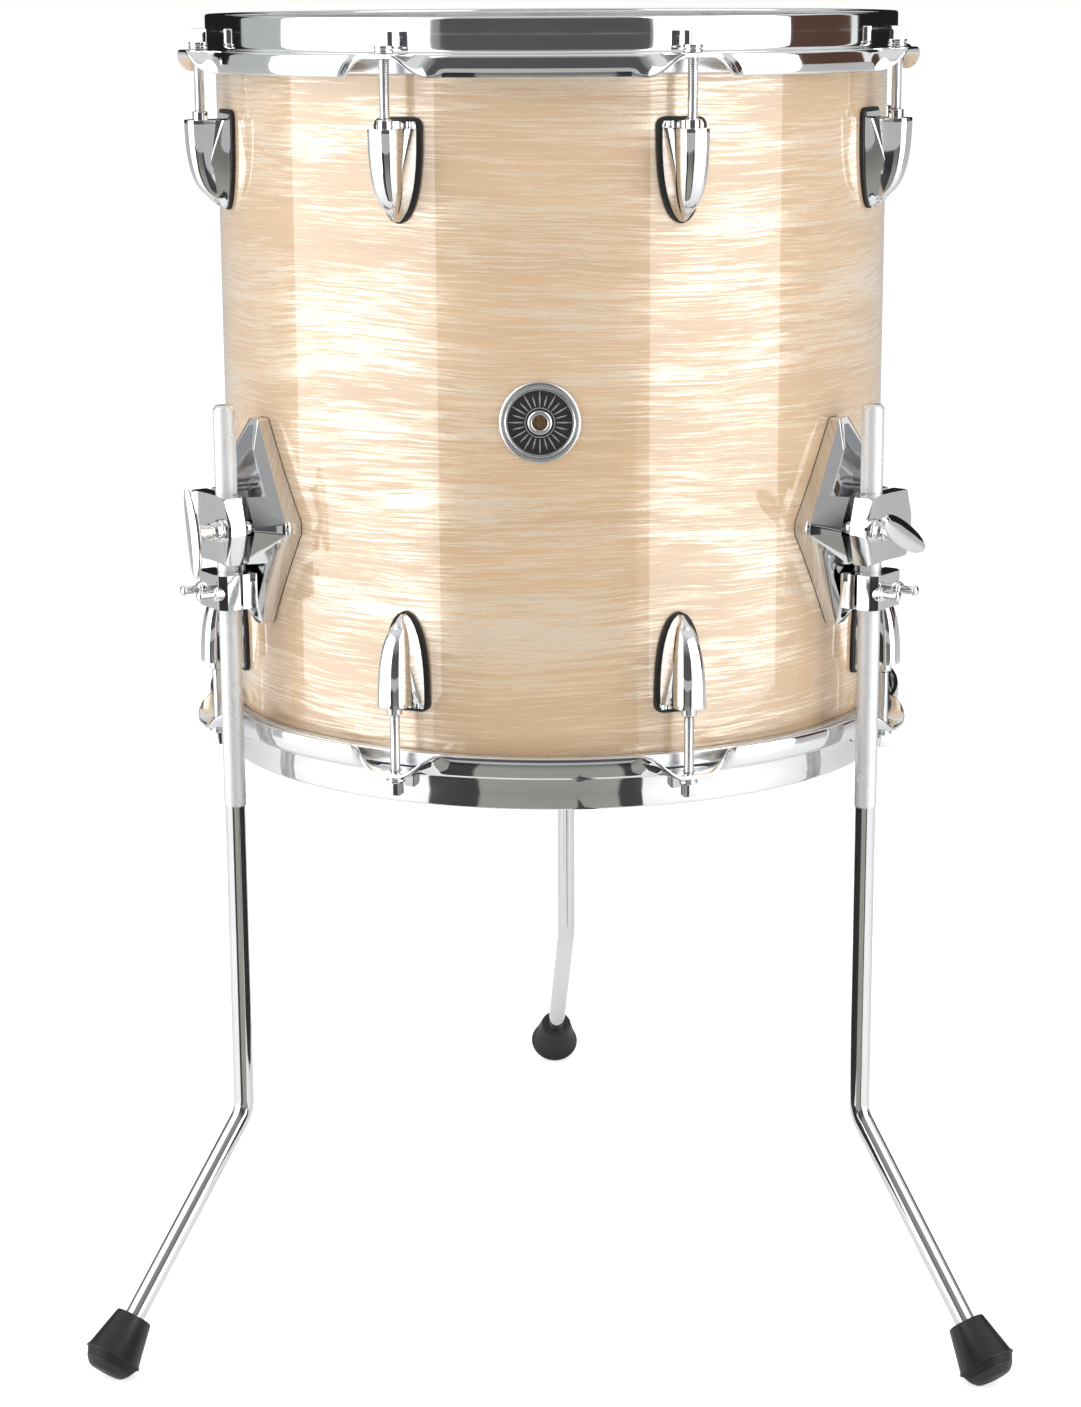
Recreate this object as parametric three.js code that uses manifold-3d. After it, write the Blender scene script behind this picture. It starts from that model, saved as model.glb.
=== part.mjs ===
// A floor tom: a wrapped wooden shell with two heads and two steel hoops, held by
// sixteen tension rods in sixteen lugs, on three bent legs in clamping brackets.
// Millimetres, +Z up. The drum's front, with its badge, faces -Y.
// Angles round the drum are counted from the front towards +X, in degrees.

import * as THREE from 'three';
import { mergeVertices } from 'three/addons/utils/BufferGeometryUtils.js';
import Module from 'manifold-3d';

const wasm = await Module();
wasm.setup();

const radians = THREE.MathUtils.degToRad;

// Driving dimensions of the drum
const drumDiameter = 355.2;
const shellDepth = 355.6;
const shellWall = 6;
const standHeight = 321.4;
const tuningPoints = 8;
const firstPointAngle = -22.5;
const rodStandOff = 14.5;
const legStandOff = 23.4;

// Clearances
const restGap = 0.3;
const glueLine = 0.1;
const overrun = 2;

// How finely round things are cut into flats
const drumSides = 48;
const badgeSides = 32;
const smallSides = 12;
const rodSides = 8;
const legSides = 12;
const footSides = 16;
const keySides = 4;

// Wrap, bearing edge and the places that follow from them
const wrapThickness = 0.6;
const wrapStepBack = 3.2;
const edgeOuterBevel = 2;
const edgeInnerBevel = 4;
const wrapRadius = drumDiameter / 2;
const rodCircleRadius = wrapRadius + rodStandOff;
const legCircleRadius = wrapRadius + legStandOff;
const shellRadius = wrapRadius - wrapThickness - glueLine;
const shellTop = standHeight + shellDepth;

// Heads: the film, its collar and the metal flesh hoop that grips it
const filmThickness = 0.3;
const filmShoulder = 1.6;
const collarDepth = 7;
const collarGap = 0.5;
const fleshHoopWidth = 4.5;
const fleshHoopHeight = 7.6;
const fleshHoopBevel = 1;
const filmLow = restGap;
const filmHigh = filmLow + filmThickness;
const collarInner = wrapRadius + collarGap;
const collarOuter = collarInner + filmThickness;
const fleshInner = collarOuter + restGap;
const fleshOuter = fleshInner + fleshHoopWidth;

// Hoops, pressed from sheet steel: an upright band, a ledge over the flesh hoop and
// a skirt that arches up and turns out into a flat ear at each tension rod
const hoopSheet = 2.3;
const hoopBandStandOff = 5;
const hoopBandRadius = wrapRadius + hoopBandStandOff;
const hoopRise = 16.2;
const hoopLip = 1.9;
const hoopLipRound = 0.9;
const skirtRoom = 4.6;
const skirtRadius = fleshOuter + skirtRoom + hoopSheet;
const skirtBulge = 0.5;
const skirtDepth = 12.3;
const ledgeDrop = 0.9;
const skirtFillet = 0.6;
const ledgeRound = 1.2;
const earReach = 8.8;
const earTopDrop = 0.8;
const earFlatWidth = 12.6;
const earArchWidth = 41;
const earHoleRadius = 3.5;
const earStations = 2;
const plainStations = 2;
const ledgeUnder = -ledgeDrop - hoopSheet;
const fleshTop = ledgeUnder - restGap;

// Lugs: a gasket flange, a wedge body and the barrel that takes the rod
const lugTopDrop = 31;
const lugLength = 51;
const lugHalfWidth = 12.9;
const lugGasket = 1.8;
const lugPlate = 1;
const lugShelf = 5;
const lugShelfEase = 0.5;
const lugBarrelFront = 8.4;
const lugReach = rodStandOff - restGap + lugBarrelFront;
const barrelHalfWidth = 8.2;
const lugNeckRadius = 3.9;
const lugNeckHeight = 4.2;
const lugBoreGap = 0.35;
const lugBoreDepth = 24;
const lugLevelShares = [0, 0.25, 0.5, 0.72, 0.88, 0.98];
const lugCreaseShare = 0.5;
const lugSideShare = 0.68;
const lugFrontShare = 0.55;
const lugCurvePower = 3;

// Tension rods with their collar and square key head
const rodRadius = 2.75;
const rodEngagement = 17;
const collarRadius = 5;
const collarHeight = 2.2;
const keySquare = 6.35;
const keyHeight = 7.9;
const keyBevel = 0.8;
const rodSeatGap = 0.2;

// Badge and the eyelet that lines the vent hole
const badgeRadius = 20;
const badgeHeight = 500;
const badgeThickness = 1;
const badgeRimWidth = 3.4;
const badgeRimRise = 0.4;
const eyeletBoreRadius = 3.8;
const eyeletTubeWall = 0.7;
const eyeletFlangeRadius = 6.15;
const eyeletFlangeThickness = 0.9;
const eyeletBackRadius = 6.5;
const eyeletFit = 0.3;
const eyeletTubeRadius = eyeletBoreRadius + eyeletTubeWall;
const badgeBack = wrapRadius + restGap;
const badgeFront = badgeBack + badgeThickness;

// Leg brackets on the shell
const bracketHeight = 438.5;
const bracketLength = 107;
const bracketWidth = 63;
const bracketEndWidth = 11;
const bracketPlate = 6.5;
const bracketCrown = 6;
const bracketCrownInset = 2.3;
const bracketCrownEndInset = 2.3;
const pocketDepth = 9.5;
const pocketFoot = 1.5;
const pocketHalfWidth = 18.8;
const pocketEndHalfWidth = 3.2;
const pocketEndInset = 5.5;
const clampAbove = 16.5;
const clampBelow = 18;
const clampFootHalfWidth = 22.6;
const clampHalfWidth = 19.2;
const clampApexHalfWidth = 23.3;
const clampSeatApexHalfWidth = 26.6;

// Clamp caps and wing bolts
const splitGap = 3;
const capThickness = 9.5;
const capBevel = 1.2;
const legGrip = 0.35;
const boltOffset = 14.6;
const boltRadius = 3.9;
const boltHoleGap = 0.4;
const boltReach = 20;
const bossRadius = 5.4;
const bossHeight = 5;
const stemRadius = 4;
const stemHeight = 9;
const wingLength = 46;
const wingWidth = 13;
const wingThickness = 5.4;
const wingTipShare = 0.02;
const wingStationShares = [-1, -0.8, -0.45, 0, 0.45, 0.8, 1];

// Legs
const knurlRadius = 5.75;
const legRadius = 5.3;
const legTop = 500;
const legTopBevel = 1.4;
const knurlEnd = 289.5;
const knurlStep = 0.5;
const bendHeight = 119.5;
const bendRadius = 16;
const bendSteps = 3;
const splayAngle = 42.5;

// The clamp's split lies on the leg's axis, with the cap beyond it
const splitInner = legCircleRadius - splitGap / 2;
const splitOuter = legCircleRadius + splitGap / 2;
const capFront = splitOuter + capThickness;

// Rubber feet
const footPress = 0.9;
const footTopRadius = 9.6;
const footRimRadius = 15.3;
const footRimHeight = 23.5;
const footRimRound = 0.9;
const footTreadRadius = 12.2;
const footTreadHeight = 8.8;
const footEdgeRound = 3.4;
const footTopRound = 0.8;
const footBoreDepth = 18;
const footBoreGap = 0.2;

// How far down the leg each foot starts, so that its tread just presses on the floor
const treadLow = -footRimHeight - footTreadHeight;
const treadReach = [
  [footTreadRadius - footEdgeRound, treadLow],
  [footTreadRadius, treadLow + footEdgeRound],
].map(([r, z]) => r * Math.sin(radians(splayAngle)) - z * Math.cos(radians(splayAngle)));
const footFromBend = (bendHeight + footPress - Math.max(...treadReach)) / Math.cos(radians(splayAngle));

// Height locks clamped on the legs below the brackets
const lockHeight = 18;
const lockBelowClamp = 6.2;
const lockHalfWidth = 14;
const lockBack = 9;
const lockFront = 11.5;
const lockBevel = 3.5;
const lockSlit = 1.6;
const lockSlitDepth = 5.5;
const lockTongueHalfWidth = 7;
const lockTongueDepth = 4.6;
const keyScrewSpacing = 18;
const keyScrewRadius = 2.5;
const keyScrewCollarRadius = 3.3;
const keyScrewCollar = 1.4;
const keyScrewReach = 12;
const keyScrewDrop = 9.5;

// Where each leg stands, which way its foot points and how its wing bolt is set
const legSets = [
  { side: 'left', angle: -54.4, footAngle: -38.5, boltSide: 1, wingTurn: -10 },
  { side: 'right', angle: 55.8, footAngle: 39.7, boltSide: -1, wingTurn: -63 },
  { side: 'back', angle: 180, footAngle: 186.7, boltSide: 1, wingTurn: 20 },
];

// Finishes
const finish = (color, roughness, metalness) =>
  new THREE.MeshStandardMaterial({ color, roughness, metalness });
const wood = finish(0xc99a62, 0.6, 0);
const pearl = finish(0xead3b0, 0.25, 0);
const chrome = finish(0xd8dadc, 0.08, 1);
const aluminium = finish(0xb9bcc0, 0.35, 1);
const coatedFilm = finish(0xf1f0ec, 0.7, 0);
const clearFilm = finish(0xe8ecee, 0.25, 0);
const badgeMetal = finish(0x2a2a2c, 0.35, 0.6);
const rubber = finish(0x1c1c1d, 0.8, 0);

// A closed mesh without seams or triangles of no area
function tidy(geometry) {
  const bare = geometry.clone();
  bare.deleteAttribute('normal');
  bare.deleteAttribute('uv');
  const merged = mergeVertices(bare);
  const index = merged.index.array;
  const kept = [];
  for (let i = 0; i < index.length; i += 3) {
    const [a, b, c] = [index[i], index[i + 1], index[i + 2]];
    if (a !== b && b !== c && c !== a) kept.push(a, b, c);
  }
  merged.setIndex(kept);
  return merged;
}

// Turns a mesh's faces outwards if they point in
function facingOut(geometry) {
  const place = geometry.attributes.position;
  const index = geometry.index.array;
  const corner = [new THREE.Vector3(), new THREE.Vector3(), new THREE.Vector3()];
  let volume = 0;
  for (let i = 0; i < index.length; i += 3) {
    corner.forEach((c, k) => c.fromBufferAttribute(place, index[i + k]));
    volume += corner[0].dot(corner[1].cross(corner[2]));
  }
  if (volume < 0) {
    const turned = Array.from(index);
    for (let i = 0; i < turned.length; i += 3) {
      [turned[i], turned[i + 1]] = [turned[i + 1], turned[i]];
    }
    geometry.setIndex(turned);
  }
  return geometry;
}

function solid(geometry) {
  const clean = facingOut(tidy(geometry));
  return new wasm.Manifold(new wasm.Mesh({
    numProp: 3,
    vertProperties: Float32Array.from(clean.attributes.position.array),
    triVerts: Uint32Array.from(clean.index.array),
  }));
}

function meshed(body) {
  const mesh = body.getMesh();
  const geometry = new THREE.BufferGeometry();
  geometry.setAttribute('position', new THREE.BufferAttribute(Float32Array.from(mesh.vertProperties), 3));
  geometry.setIndex(Array.from(mesh.triVerts));
  return geometry;
}

// The triangles that close a flat ring of points, wound as the ring is
function capOf(ring) {
  const normal = new THREE.Vector3();
  ring.forEach((p, i) => {
    const q = ring[(i + 1) % ring.length];
    normal.add(new THREE.Vector3().crossVectors(p, q));
  });
  const size = [Math.abs(normal.x), Math.abs(normal.y), Math.abs(normal.z)];
  const flat = ring.map((p) => {
    if (size[0] >= size[1] && size[0] >= size[2]) return new THREE.Vector2(p.y, p.z);
    if (size[1] >= size[2]) return new THREE.Vector2(p.z, p.x);
    return new THREE.Vector2(p.x, p.y);
  });
  const ringArea = THREE.ShapeUtils.area(flat);
  return THREE.ShapeUtils.triangulateShape(flat, []).map((face) => {
    const area = THREE.ShapeUtils.area(face.map((i) => flat[i]));
    return area * ringArea < 0 ? [face[1], face[0], face[2]] : face;
  });
}

// A skin through rings of as many points each, closed by flat caps or end to end
function skin(rings, endToEnd = false) {
  const count = rings[0].length;
  const points = rings.flat();
  const index = [];
  const spans = endToEnd ? rings.length : rings.length - 1;
  for (let k = 0; k < spans; k += 1) {
    const low = k * count;
    const high = ((k + 1) % rings.length) * count;
    for (let i = 0; i < count; i += 1) {
      const j = (i + 1) % count;
      index.push(low + i, low + j, high + j, low + i, high + j, high + i);
    }
  }
  if (!endToEnd) {
    const last = (rings.length - 1) * count;
    capOf(rings[0]).forEach(([a, b, c]) => index.push(b, a, c));
    capOf(rings[rings.length - 1]).forEach(([a, b, c]) => index.push(last + a, last + b, last + c));
  }
  const geometry = new THREE.BufferGeometry().setFromPoints(points);
  geometry.setIndex(index);
  return facingOut(tidy(geometry));
}

// A turned piece: its outline is [radius, height] pairs and its axis stands along Z
function turned(outline, sides) {
  const points = outline.map(([r, z]) => new THREE.Vector2(r, z));
  return facingOut(tidy(new THREE.LatheGeometry(points, sides).rotateX(Math.PI / 2)));
}

// The same with a hole through it, so that the outline closes on itself
function turnedRing(outline, sides) {
  return turned([...outline, outline[0]], sides);
}

// The corner radius whose flats clear a round of this radius
const bore = (radius, sides) => radius / Math.cos(Math.PI / sides);

function rod(radius, low, high, sides) {
  return turned([[0, low], [radius, low], [radius, high], [0, high]], sides);
}

// Stands a turned piece on the drum's front, its axis pointing out along -Y
const outward = (geometry) => geometry.rotateX(Math.PI / 2);

// A flat outline of [across, up] pairs, as a ring that faces -Y at a distance out
const facing = (outline, out) => outline.map(([x, z]) => new THREE.Vector3(x, -out, z));

const drum = new THREE.Group();
const batterSide = new THREE.Group();
const resonantSide = new THREE.Group();
batterSide.position.z = shellTop;
resonantSide.position.z = standHeight;
resonantSide.rotation.y = Math.PI;
drum.add(batterSide, resonantSide);

function piece(name, geometry, material, parent, angle = 0) {
  const mesh = new THREE.Mesh(geometry, material);
  mesh.name = name;
  mesh.rotation.z = radians(angle);
  parent.add(mesh);
  return mesh;
}

// A round hole through the front of the shell for the eyelet
function ventHole(radius, from, to) {
  const drill = outward(rod(radius, from, to, smallSides));
  return solid(drill.translate(0, 0, badgeHeight));
}

function shellGeometry() {
  const inner = shellRadius - shellWall;
  const peak = shellRadius - edgeOuterBevel;
  const body = turnedRing([
    [inner, standHeight + edgeInnerBevel],
    [peak, standHeight],
    [shellRadius, standHeight + edgeOuterBevel],
    [shellRadius, shellTop - edgeOuterBevel],
    [peak, shellTop],
    [inner, shellTop - edgeInnerBevel],
  ], drumSides);
  const hole = ventHole(eyeletTubeRadius + eyeletFit, inner - overrun, shellRadius + overrun);
  return meshed(solid(body).subtract(hole));
}

function wrapGeometry() {
  const low = standHeight + wrapStepBack;
  const high = shellTop - wrapStepBack;
  const inner = shellRadius + glueLine;
  const body = turnedRing([
    [inner, low],
    [wrapRadius, low],
    [wrapRadius, high],
    [inner, high],
  ], drumSides);
  const hole = ventHole(eyeletTubeRadius + eyeletFit, inner - overrun, wrapRadius + overrun);
  return meshed(solid(body).subtract(hole));
}

// The part of a body that lies between two cylinders round the drum's axis
function bentTo(body, inner, outer) {
  const low = badgeHeight - badgeRadius - overrun;
  const high = badgeHeight + badgeRadius + overrun;
  const within = solid(rod(outer, low, high, drumSides));
  const core = solid(rod(inner, low - overrun, high + overrun, drumSides));
  return body.intersect(within).subtract(core);
}

function badgeGeometry() {
  const from = wrapRadius - badgeRadius;
  const to = wrapRadius + badgeRadius;
  const disc = solid(outward(rod(badgeRadius, from, to, badgeSides)).translate(0, 0, badgeHeight));
  const field = outward(rod(badgeRadius - badgeRimWidth, from, to, badgeSides));
  const rim = disc.subtract(solid(field.translate(0, 0, badgeHeight)));
  const plate = bentTo(disc, badgeBack, badgeFront);
  const raised = bentTo(rim, badgeBack, badgeFront + badgeRimRise);
  const hole = ventHole(eyeletTubeRadius + eyeletFit, from, to);
  return meshed(plate.add(raised).subtract(hole));
}

function eyeletGeometry() {
  const front = badgeFront + restGap;
  const flatDrop = eyeletBackRadius * Math.tan(Math.PI / drumSides);
  const back = shellRadius - shellWall - restGap - flatDrop;
  const tube = eyeletTubeRadius;
  const outline = [
    [eyeletBoreRadius, back - eyeletFlangeThickness],
    [eyeletBackRadius, back - eyeletFlangeThickness],
    [eyeletBackRadius, back],
    [tube, back],
    [tube, front],
    [eyeletFlangeRadius, front],
    [eyeletFlangeRadius - eyeletFlangeThickness, front + eyeletFlangeThickness],
    [eyeletBoreRadius, front + eyeletFlangeThickness],
  ];
  return outward(turnedRing(outline, smallSides)).translate(0, 0, badgeHeight);
}

// Both heads and both flesh hoops are drawn from the shell's edge, with the head's
// playing side up
function headGeometry() {
  const flatTo = shellRadius - edgeOuterBevel;
  return turned([
    [0, filmLow],
    [flatTo, filmLow],
    [collarInner, filmLow - filmShoulder],
    [collarInner, -collarDepth],
    [collarOuter, -collarDepth],
    [collarOuter, filmLow - filmShoulder],
    [flatTo + filmThickness, filmHigh],
    [0, filmHigh],
  ], drumSides);
}

function fleshHoopGeometry() {
  return turnedRing([
    [fleshInner, fleshTop - fleshHoopHeight],
    [fleshOuter - fleshHoopBevel, fleshTop - fleshHoopHeight],
    [fleshOuter, fleshTop - fleshHoopHeight + fleshHoopBevel],
    [fleshOuter, fleshTop],
    [fleshInner, fleshTop],
  ], drumSides);
}

// One section of a hoop, as [radius, height] from the shell's edge. Ear is 0 where
// the skirt hangs down and 1 where it is turned out flat under a rod's collar.
function hoopSection(ear) {
  const mix = (plain, turnedOut) => plain + (turnedOut - plain) * ear;
  const bandInner = hoopBandRadius - hoopSheet;
  const tip = rodCircleRadius + earReach;
  const earTop = -earTopDrop;
  const earUnder = earTop - hoopSheet;
  const skirtInner = skirtRadius - hoopSheet;
  return [
    [bandInner, hoopRise - hoopLip],
    [bandInner - hoopLip, hoopRise - hoopLipRound],
    [bandInner, hoopRise],
    [hoopBandRadius - hoopLipRound, hoopRise],
    [hoopBandRadius, hoopRise - hoopLipRound],
    [hoopBandRadius, -ledgeDrop],
    [mix(skirtRadius - ledgeRound, rodCircleRadius), mix(-ledgeDrop - ledgeRound / 2, earTop)],
    [mix(skirtRadius + skirtBulge, tip), mix((ledgeUnder - skirtDepth) / 2, earTop - ledgeRound / 2)],
    [mix(skirtRadius, tip), mix(-skirtDepth, earUnder)],
    [mix(skirtInner, rodCircleRadius), mix(-skirtDepth, earUnder)],
    [mix(skirtInner, fleshOuter + skirtFillet), mix(ledgeUnder - ledgeRound, ledgeUnder)],
    [fleshOuter + restGap, ledgeUnder],
    [bandInner, ledgeUnder],
  ];
}

// The angles from a tension rod at which a hoop has a section, and how far each is
// turned out
function hoopStations() {
  const perMillimetre = 1 / rodCircleRadius;
  const flat = (earFlatWidth / 2) * perMillimetre;
  const arch = (earArchWidth / 2) * perMillimetre;
  const half = Math.PI / tuningPoints;
  const stations = [];
  for (let k = 0; k <= earStations; k += 1) {
    const share = k / earStations;
    const ear = (1 + Math.cos(Math.PI * share)) / 2;
    stations.push({ turn: flat + (arch - flat) * share, ear });
  }
  for (let k = 1; k <= plainStations; k += 1) {
    stations.push({ turn: arch + ((half - arch) * k) / (plainStations + 1), ear: 0 });
  }
  const before = stations.map(({ turn, ear }) => ({ turn: -turn, ear })).reverse();
  return [...before, { turn: 0, ear: 1 }, ...stations, { turn: half, ear: 0 }];
}

function pointAngle(k) {
  return firstPointAngle + (360 / tuningPoints) * k;
}

function hoopGeometry() {
  const rings = [];
  for (let k = 0; k < tuningPoints; k += 1) {
    hoopStations().forEach(({ turn, ear }) => {
      const a = radians(pointAngle(k)) + turn;
      rings.push(hoopSection(ear).map(([r, z]) => new THREE.Vector3(r * Math.sin(a), -r * Math.cos(a), z)));
    });
  }
  let body = solid(skin(rings, true));
  for (let k = 0; k < tuningPoints; k += 1) {
    const hole = rod(earHoleRadius, -skirtDepth - overrun, overrun, rodSides);
    hole.translate(0, -rodCircleRadius, 0).rotateZ(radians(pointAngle(k)));
    body = body.subtract(solid(hole));
  }
  return meshed(body);
}

// One level section of a lug. Share runs from the neck end to the tip, and barrel is
// 0 on the flange above the shelf and 1 below it.
function lugSection(share, barrel) {
  const height = -lugTopDrop - share * lugLength;
  const narrowing = Math.sqrt(1 - share ** lugCurvePower);
  const base = lugHalfWidth * narrowing;
  const edge = wrapRadius + restGap;
  const plateTop = lugGasket + lugPlate;
  const front = plateTop + (lugReach * narrowing - plateTop) * barrel;
  const side = lugGasket + (front - lugGasket) * lugSideShare;
  const barrelWide = Math.min(barrelHalfWidth, base * lugSideShare) * Math.sqrt(narrowing);
  const crease = Math.min(share / lugCreaseShare, 1);
  const creaseWide = base + (barrelWide - base) * crease;
  const creaseOut = plateTop + (side - plateTop) * crease;
  const half = [
    [base, 0],
    [base, lugGasket],
    [creaseWide, creaseOut],
    [barrelWide, Math.min(creaseOut + lugPlate, side)],
    [barrelWide, side],
    [barrelWide * lugFrontShare, front],
  ];
  const otherHalf = half.map(([x, y]) => [-x, y]).reverse();
  return [...half, ...otherHalf].map(([x, y]) => new THREE.Vector3(x, -(edge + y), height));
}

function lugGeometry() {
  const shelfShare = lugShelf / lugLength;
  const easeShare = (lugShelf - lugShelfEase) / lugLength;
  const rings = [lugSection(0, 0), lugSection(easeShare, 0)];
  lugLevelShares.forEach((level) => rings.push(lugSection(shelfShare + (1 - shelfShare) * level, 1)));
  const shelfHeight = -lugTopDrop - lugShelf;
  const neck = rod(lugNeckRadius, shelfHeight - overrun, shelfHeight + lugNeckHeight, rodSides);
  const drill = rod(
    bore(rodRadius + lugBoreGap, rodSides),
    shelfHeight - lugBoreDepth,
    shelfHeight + lugNeckHeight + overrun,
    rodSides,
  );
  return meshed(solid(skin(rings))
    .add(solid(neck.translate(0, -rodCircleRadius, 0)))
    .subtract(solid(drill.translate(0, -rodCircleRadius, 0))));
}

function tensionRodGeometry() {
  const seat = rodSeatGap - earTopDrop;
  const end = -lugTopDrop - lugShelf - rodEngagement;
  const collarTop = seat + collarHeight;
  const shank = turned([
    [0, end],
    [rodRadius, end],
    [rodRadius, seat],
    [collarRadius, seat],
    [collarRadius, collarTop],
    [0, collarTop],
  ], rodSides);
  const corner = bore(keySquare / 2, keySides);
  const key = turned([
    [0, collarTop - collarHeight / 2],
    [corner, collarTop - collarHeight / 2],
    [corner, collarTop + keyHeight - keyBevel],
    [corner - keyBevel, collarTop + keyHeight],
    [0, collarTop + keyHeight],
  ], keySides);
  return meshed(solid(shank).add(solid(key.rotateZ(Math.PI / keySides)))).translate(0, -rodCircleRadius, 0);
}

// The long six-sided outline of a bracket, drawn in by an inset
function bracketOutline(sideInset, endInset) {
  const half = bracketLength / 2 - endInset;
  const wide = bracketWidth / 2 - sideInset;
  const end = Math.max(bracketEndWidth / 2 - sideInset / 2, bracketEndWidth / 4);
  return [[-end, -half], [end, -half], [wide, 0], [end, half], [-end, half], [-wide, 0]];
}

// The clamp's outline: narrow above and below, widest at the bolt
function clampOutline(halfWidth, apexHalfWidth, inset = 0) {
  const narrow = halfWidth - inset;
  const wide = apexHalfWidth - inset;
  const low = -clampBelow + inset;
  const high = clampAbove - inset;
  return [[-narrow, low], [narrow, low], [wide, 0], [narrow, high], [-narrow, high], [-wide, 0]];
}

function pocketOutline(up) {
  const foot = (up > 0 ? clampAbove : clampBelow) + pocketFoot;
  const end = bracketLength / 2 - pocketEndInset;
  return [
    [-pocketHalfWidth, up * foot],
    [pocketHalfWidth, up * foot],
    [pocketEndHalfWidth, up * end],
    [-pocketEndHalfWidth, up * end],
  ];
}

function legBore(sides) {
  const radius = bore(knurlRadius + legGrip, sides);
  const drill = rod(radius, -clampBelow - overrun, clampAbove + overrun, sides);
  return solid(drill.translate(0, -legCircleRadius, 0));
}

function boltHole(boltSide) {
  const radius = bore(boltRadius + boltHoleGap, smallSides);
  const from = splitInner - boltReach - overrun;
  const drill = outward(rod(radius, from, capFront + overrun, smallSides));
  return solid(drill.translate(boltSide * boltOffset, 0, 0));
}

// The shell's space is turned back so that its flats lie along those of the wrap
function bracketGeometry(boltSide, angle) {
  const plateFront = wrapRadius + bracketPlate;
  const crownFront = plateFront + bracketCrown;
  const outline = bracketOutline(0, 0);
  const crown = bracketOutline(bracketCrownInset, bracketCrownEndInset);
  const base = solid(skin([
    facing(outline, wrapRadius - bracketPlate),
    facing(outline, plateFront),
    facing(crown, crownFront),
  ]));
  const pocketFloor = crownFront - pocketDepth;
  const pockets = [1, -1].map((up) => solid(skin([
    facing(pocketOutline(up), pocketFloor),
    facing(pocketOutline(up), crownFront + overrun),
  ])));
  const clamp = solid(skin([
    facing(clampOutline(clampFootHalfWidth, bracketWidth / 2 - bracketCrownInset / 2), plateFront - overrun),
    facing(clampOutline(clampHalfWidth, clampSeatApexHalfWidth), splitInner),
  ]));
  const shellSpace = rod(wrapRadius + restGap, -bracketLength, bracketLength, drumSides)
    .rotateZ(-radians(angle));
  return meshed(base
    .subtract(pockets[0])
    .subtract(pockets[1])
    .add(clamp)
    .subtract(legBore(legSides))
    .subtract(boltHole(boltSide))
    .subtract(solid(shellSpace)));
}

function capGeometry(boltSide) {
  const outline = clampOutline(clampHalfWidth, clampApexHalfWidth);
  const body = solid(skin([
    facing(outline, splitOuter),
    facing(outline, capFront - capBevel),
    facing(clampOutline(clampHalfWidth, clampApexHalfWidth, capBevel), capFront),
  ]));
  return meshed(body.subtract(legBore(legSides)).subtract(boltHole(boltSide)));
}

// The wing: a leaf along Z, domed in front, narrowing to both tips
function wingGeometry(centre) {
  const rings = wingStationShares.map((share) => {
    const fullness = Math.sqrt(Math.max(1 - share * share, wingTipShare));
    const wide = (wingWidth / 2) * fullness;
    const thick = (wingThickness / 2) * Math.sqrt(fullness);
    const height = (wingLength / 2) * share;
    return [
      [-wide, 0],
      [-wide / 2, -thick],
      [wide / 2, -thick],
      [wide, 0],
      [wide / 2, thick],
      [-wide / 2, thick],
    ].map(([x, y]) => new THREE.Vector3(x, -centre - y, height));
  });
  return skin(rings);
}

function wingBoltGeometry(wingTurn) {
  const seat = capFront + restGap;
  const bossTop = seat + bossHeight;
  const wingCentre = bossTop + stemHeight + wingThickness / 4;
  const bolt = turned([
    [0, splitInner - boltReach],
    [boltRadius, splitInner - boltReach],
    [boltRadius, seat],
    [bossRadius, seat],
    [bossRadius, bossTop],
    [stemRadius, bossTop],
    [stemRadius, wingCentre],
    [0, wingCentre],
  ], smallSides);
  const wing = wingGeometry(wingCentre).rotateY(radians(wingTurn));
  return meshed(solid(outward(bolt)).add(solid(wing)));
}

// The leg's centre line and radius from top to bottom, leaning out along -Y below
// its bend
function legRings() {
  const lean = radians(splayAngle);
  const tangent = bendRadius * Math.tan(lean / 2);
  const rings = [];
  const level = (height, radius) => rings.push({ out: 0, height, radius, tilt: 0 });
  level(legTop, knurlRadius - legTopBevel);
  level(legTop - legTopBevel, knurlRadius);
  level(knurlEnd + knurlStep, knurlRadius);
  level(knurlEnd, legRadius);
  for (let k = 0; k <= bendSteps; k += 1) {
    const tilt = (lean * k) / bendSteps;
    rings.push({
      out: bendRadius * (1 - Math.cos(tilt)),
      height: bendHeight + tangent - bendRadius * Math.sin(tilt),
      radius: legRadius,
      tilt,
    });
  }
  const end = footFromBend + footBoreDepth - restGap;
  rings.push({
    out: end * Math.sin(lean),
    height: bendHeight - end * Math.cos(lean),
    radius: legRadius,
    tilt: lean,
  });
  return rings;
}

function legGeometry() {
  return skin(legRings().map(({ out, height, radius, tilt }) => {
    const ring = [];
    for (let k = 0; k < legSides; k += 1) {
      const a = (2 * Math.PI * k) / legSides;
      const across = radius * Math.cos(a);
      const along = radius * Math.sin(a);
      ring.push(new THREE.Vector3(across, -out - along * Math.cos(tilt), height + along * Math.sin(tilt)));
    }
    return ring;
  }));
}

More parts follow.
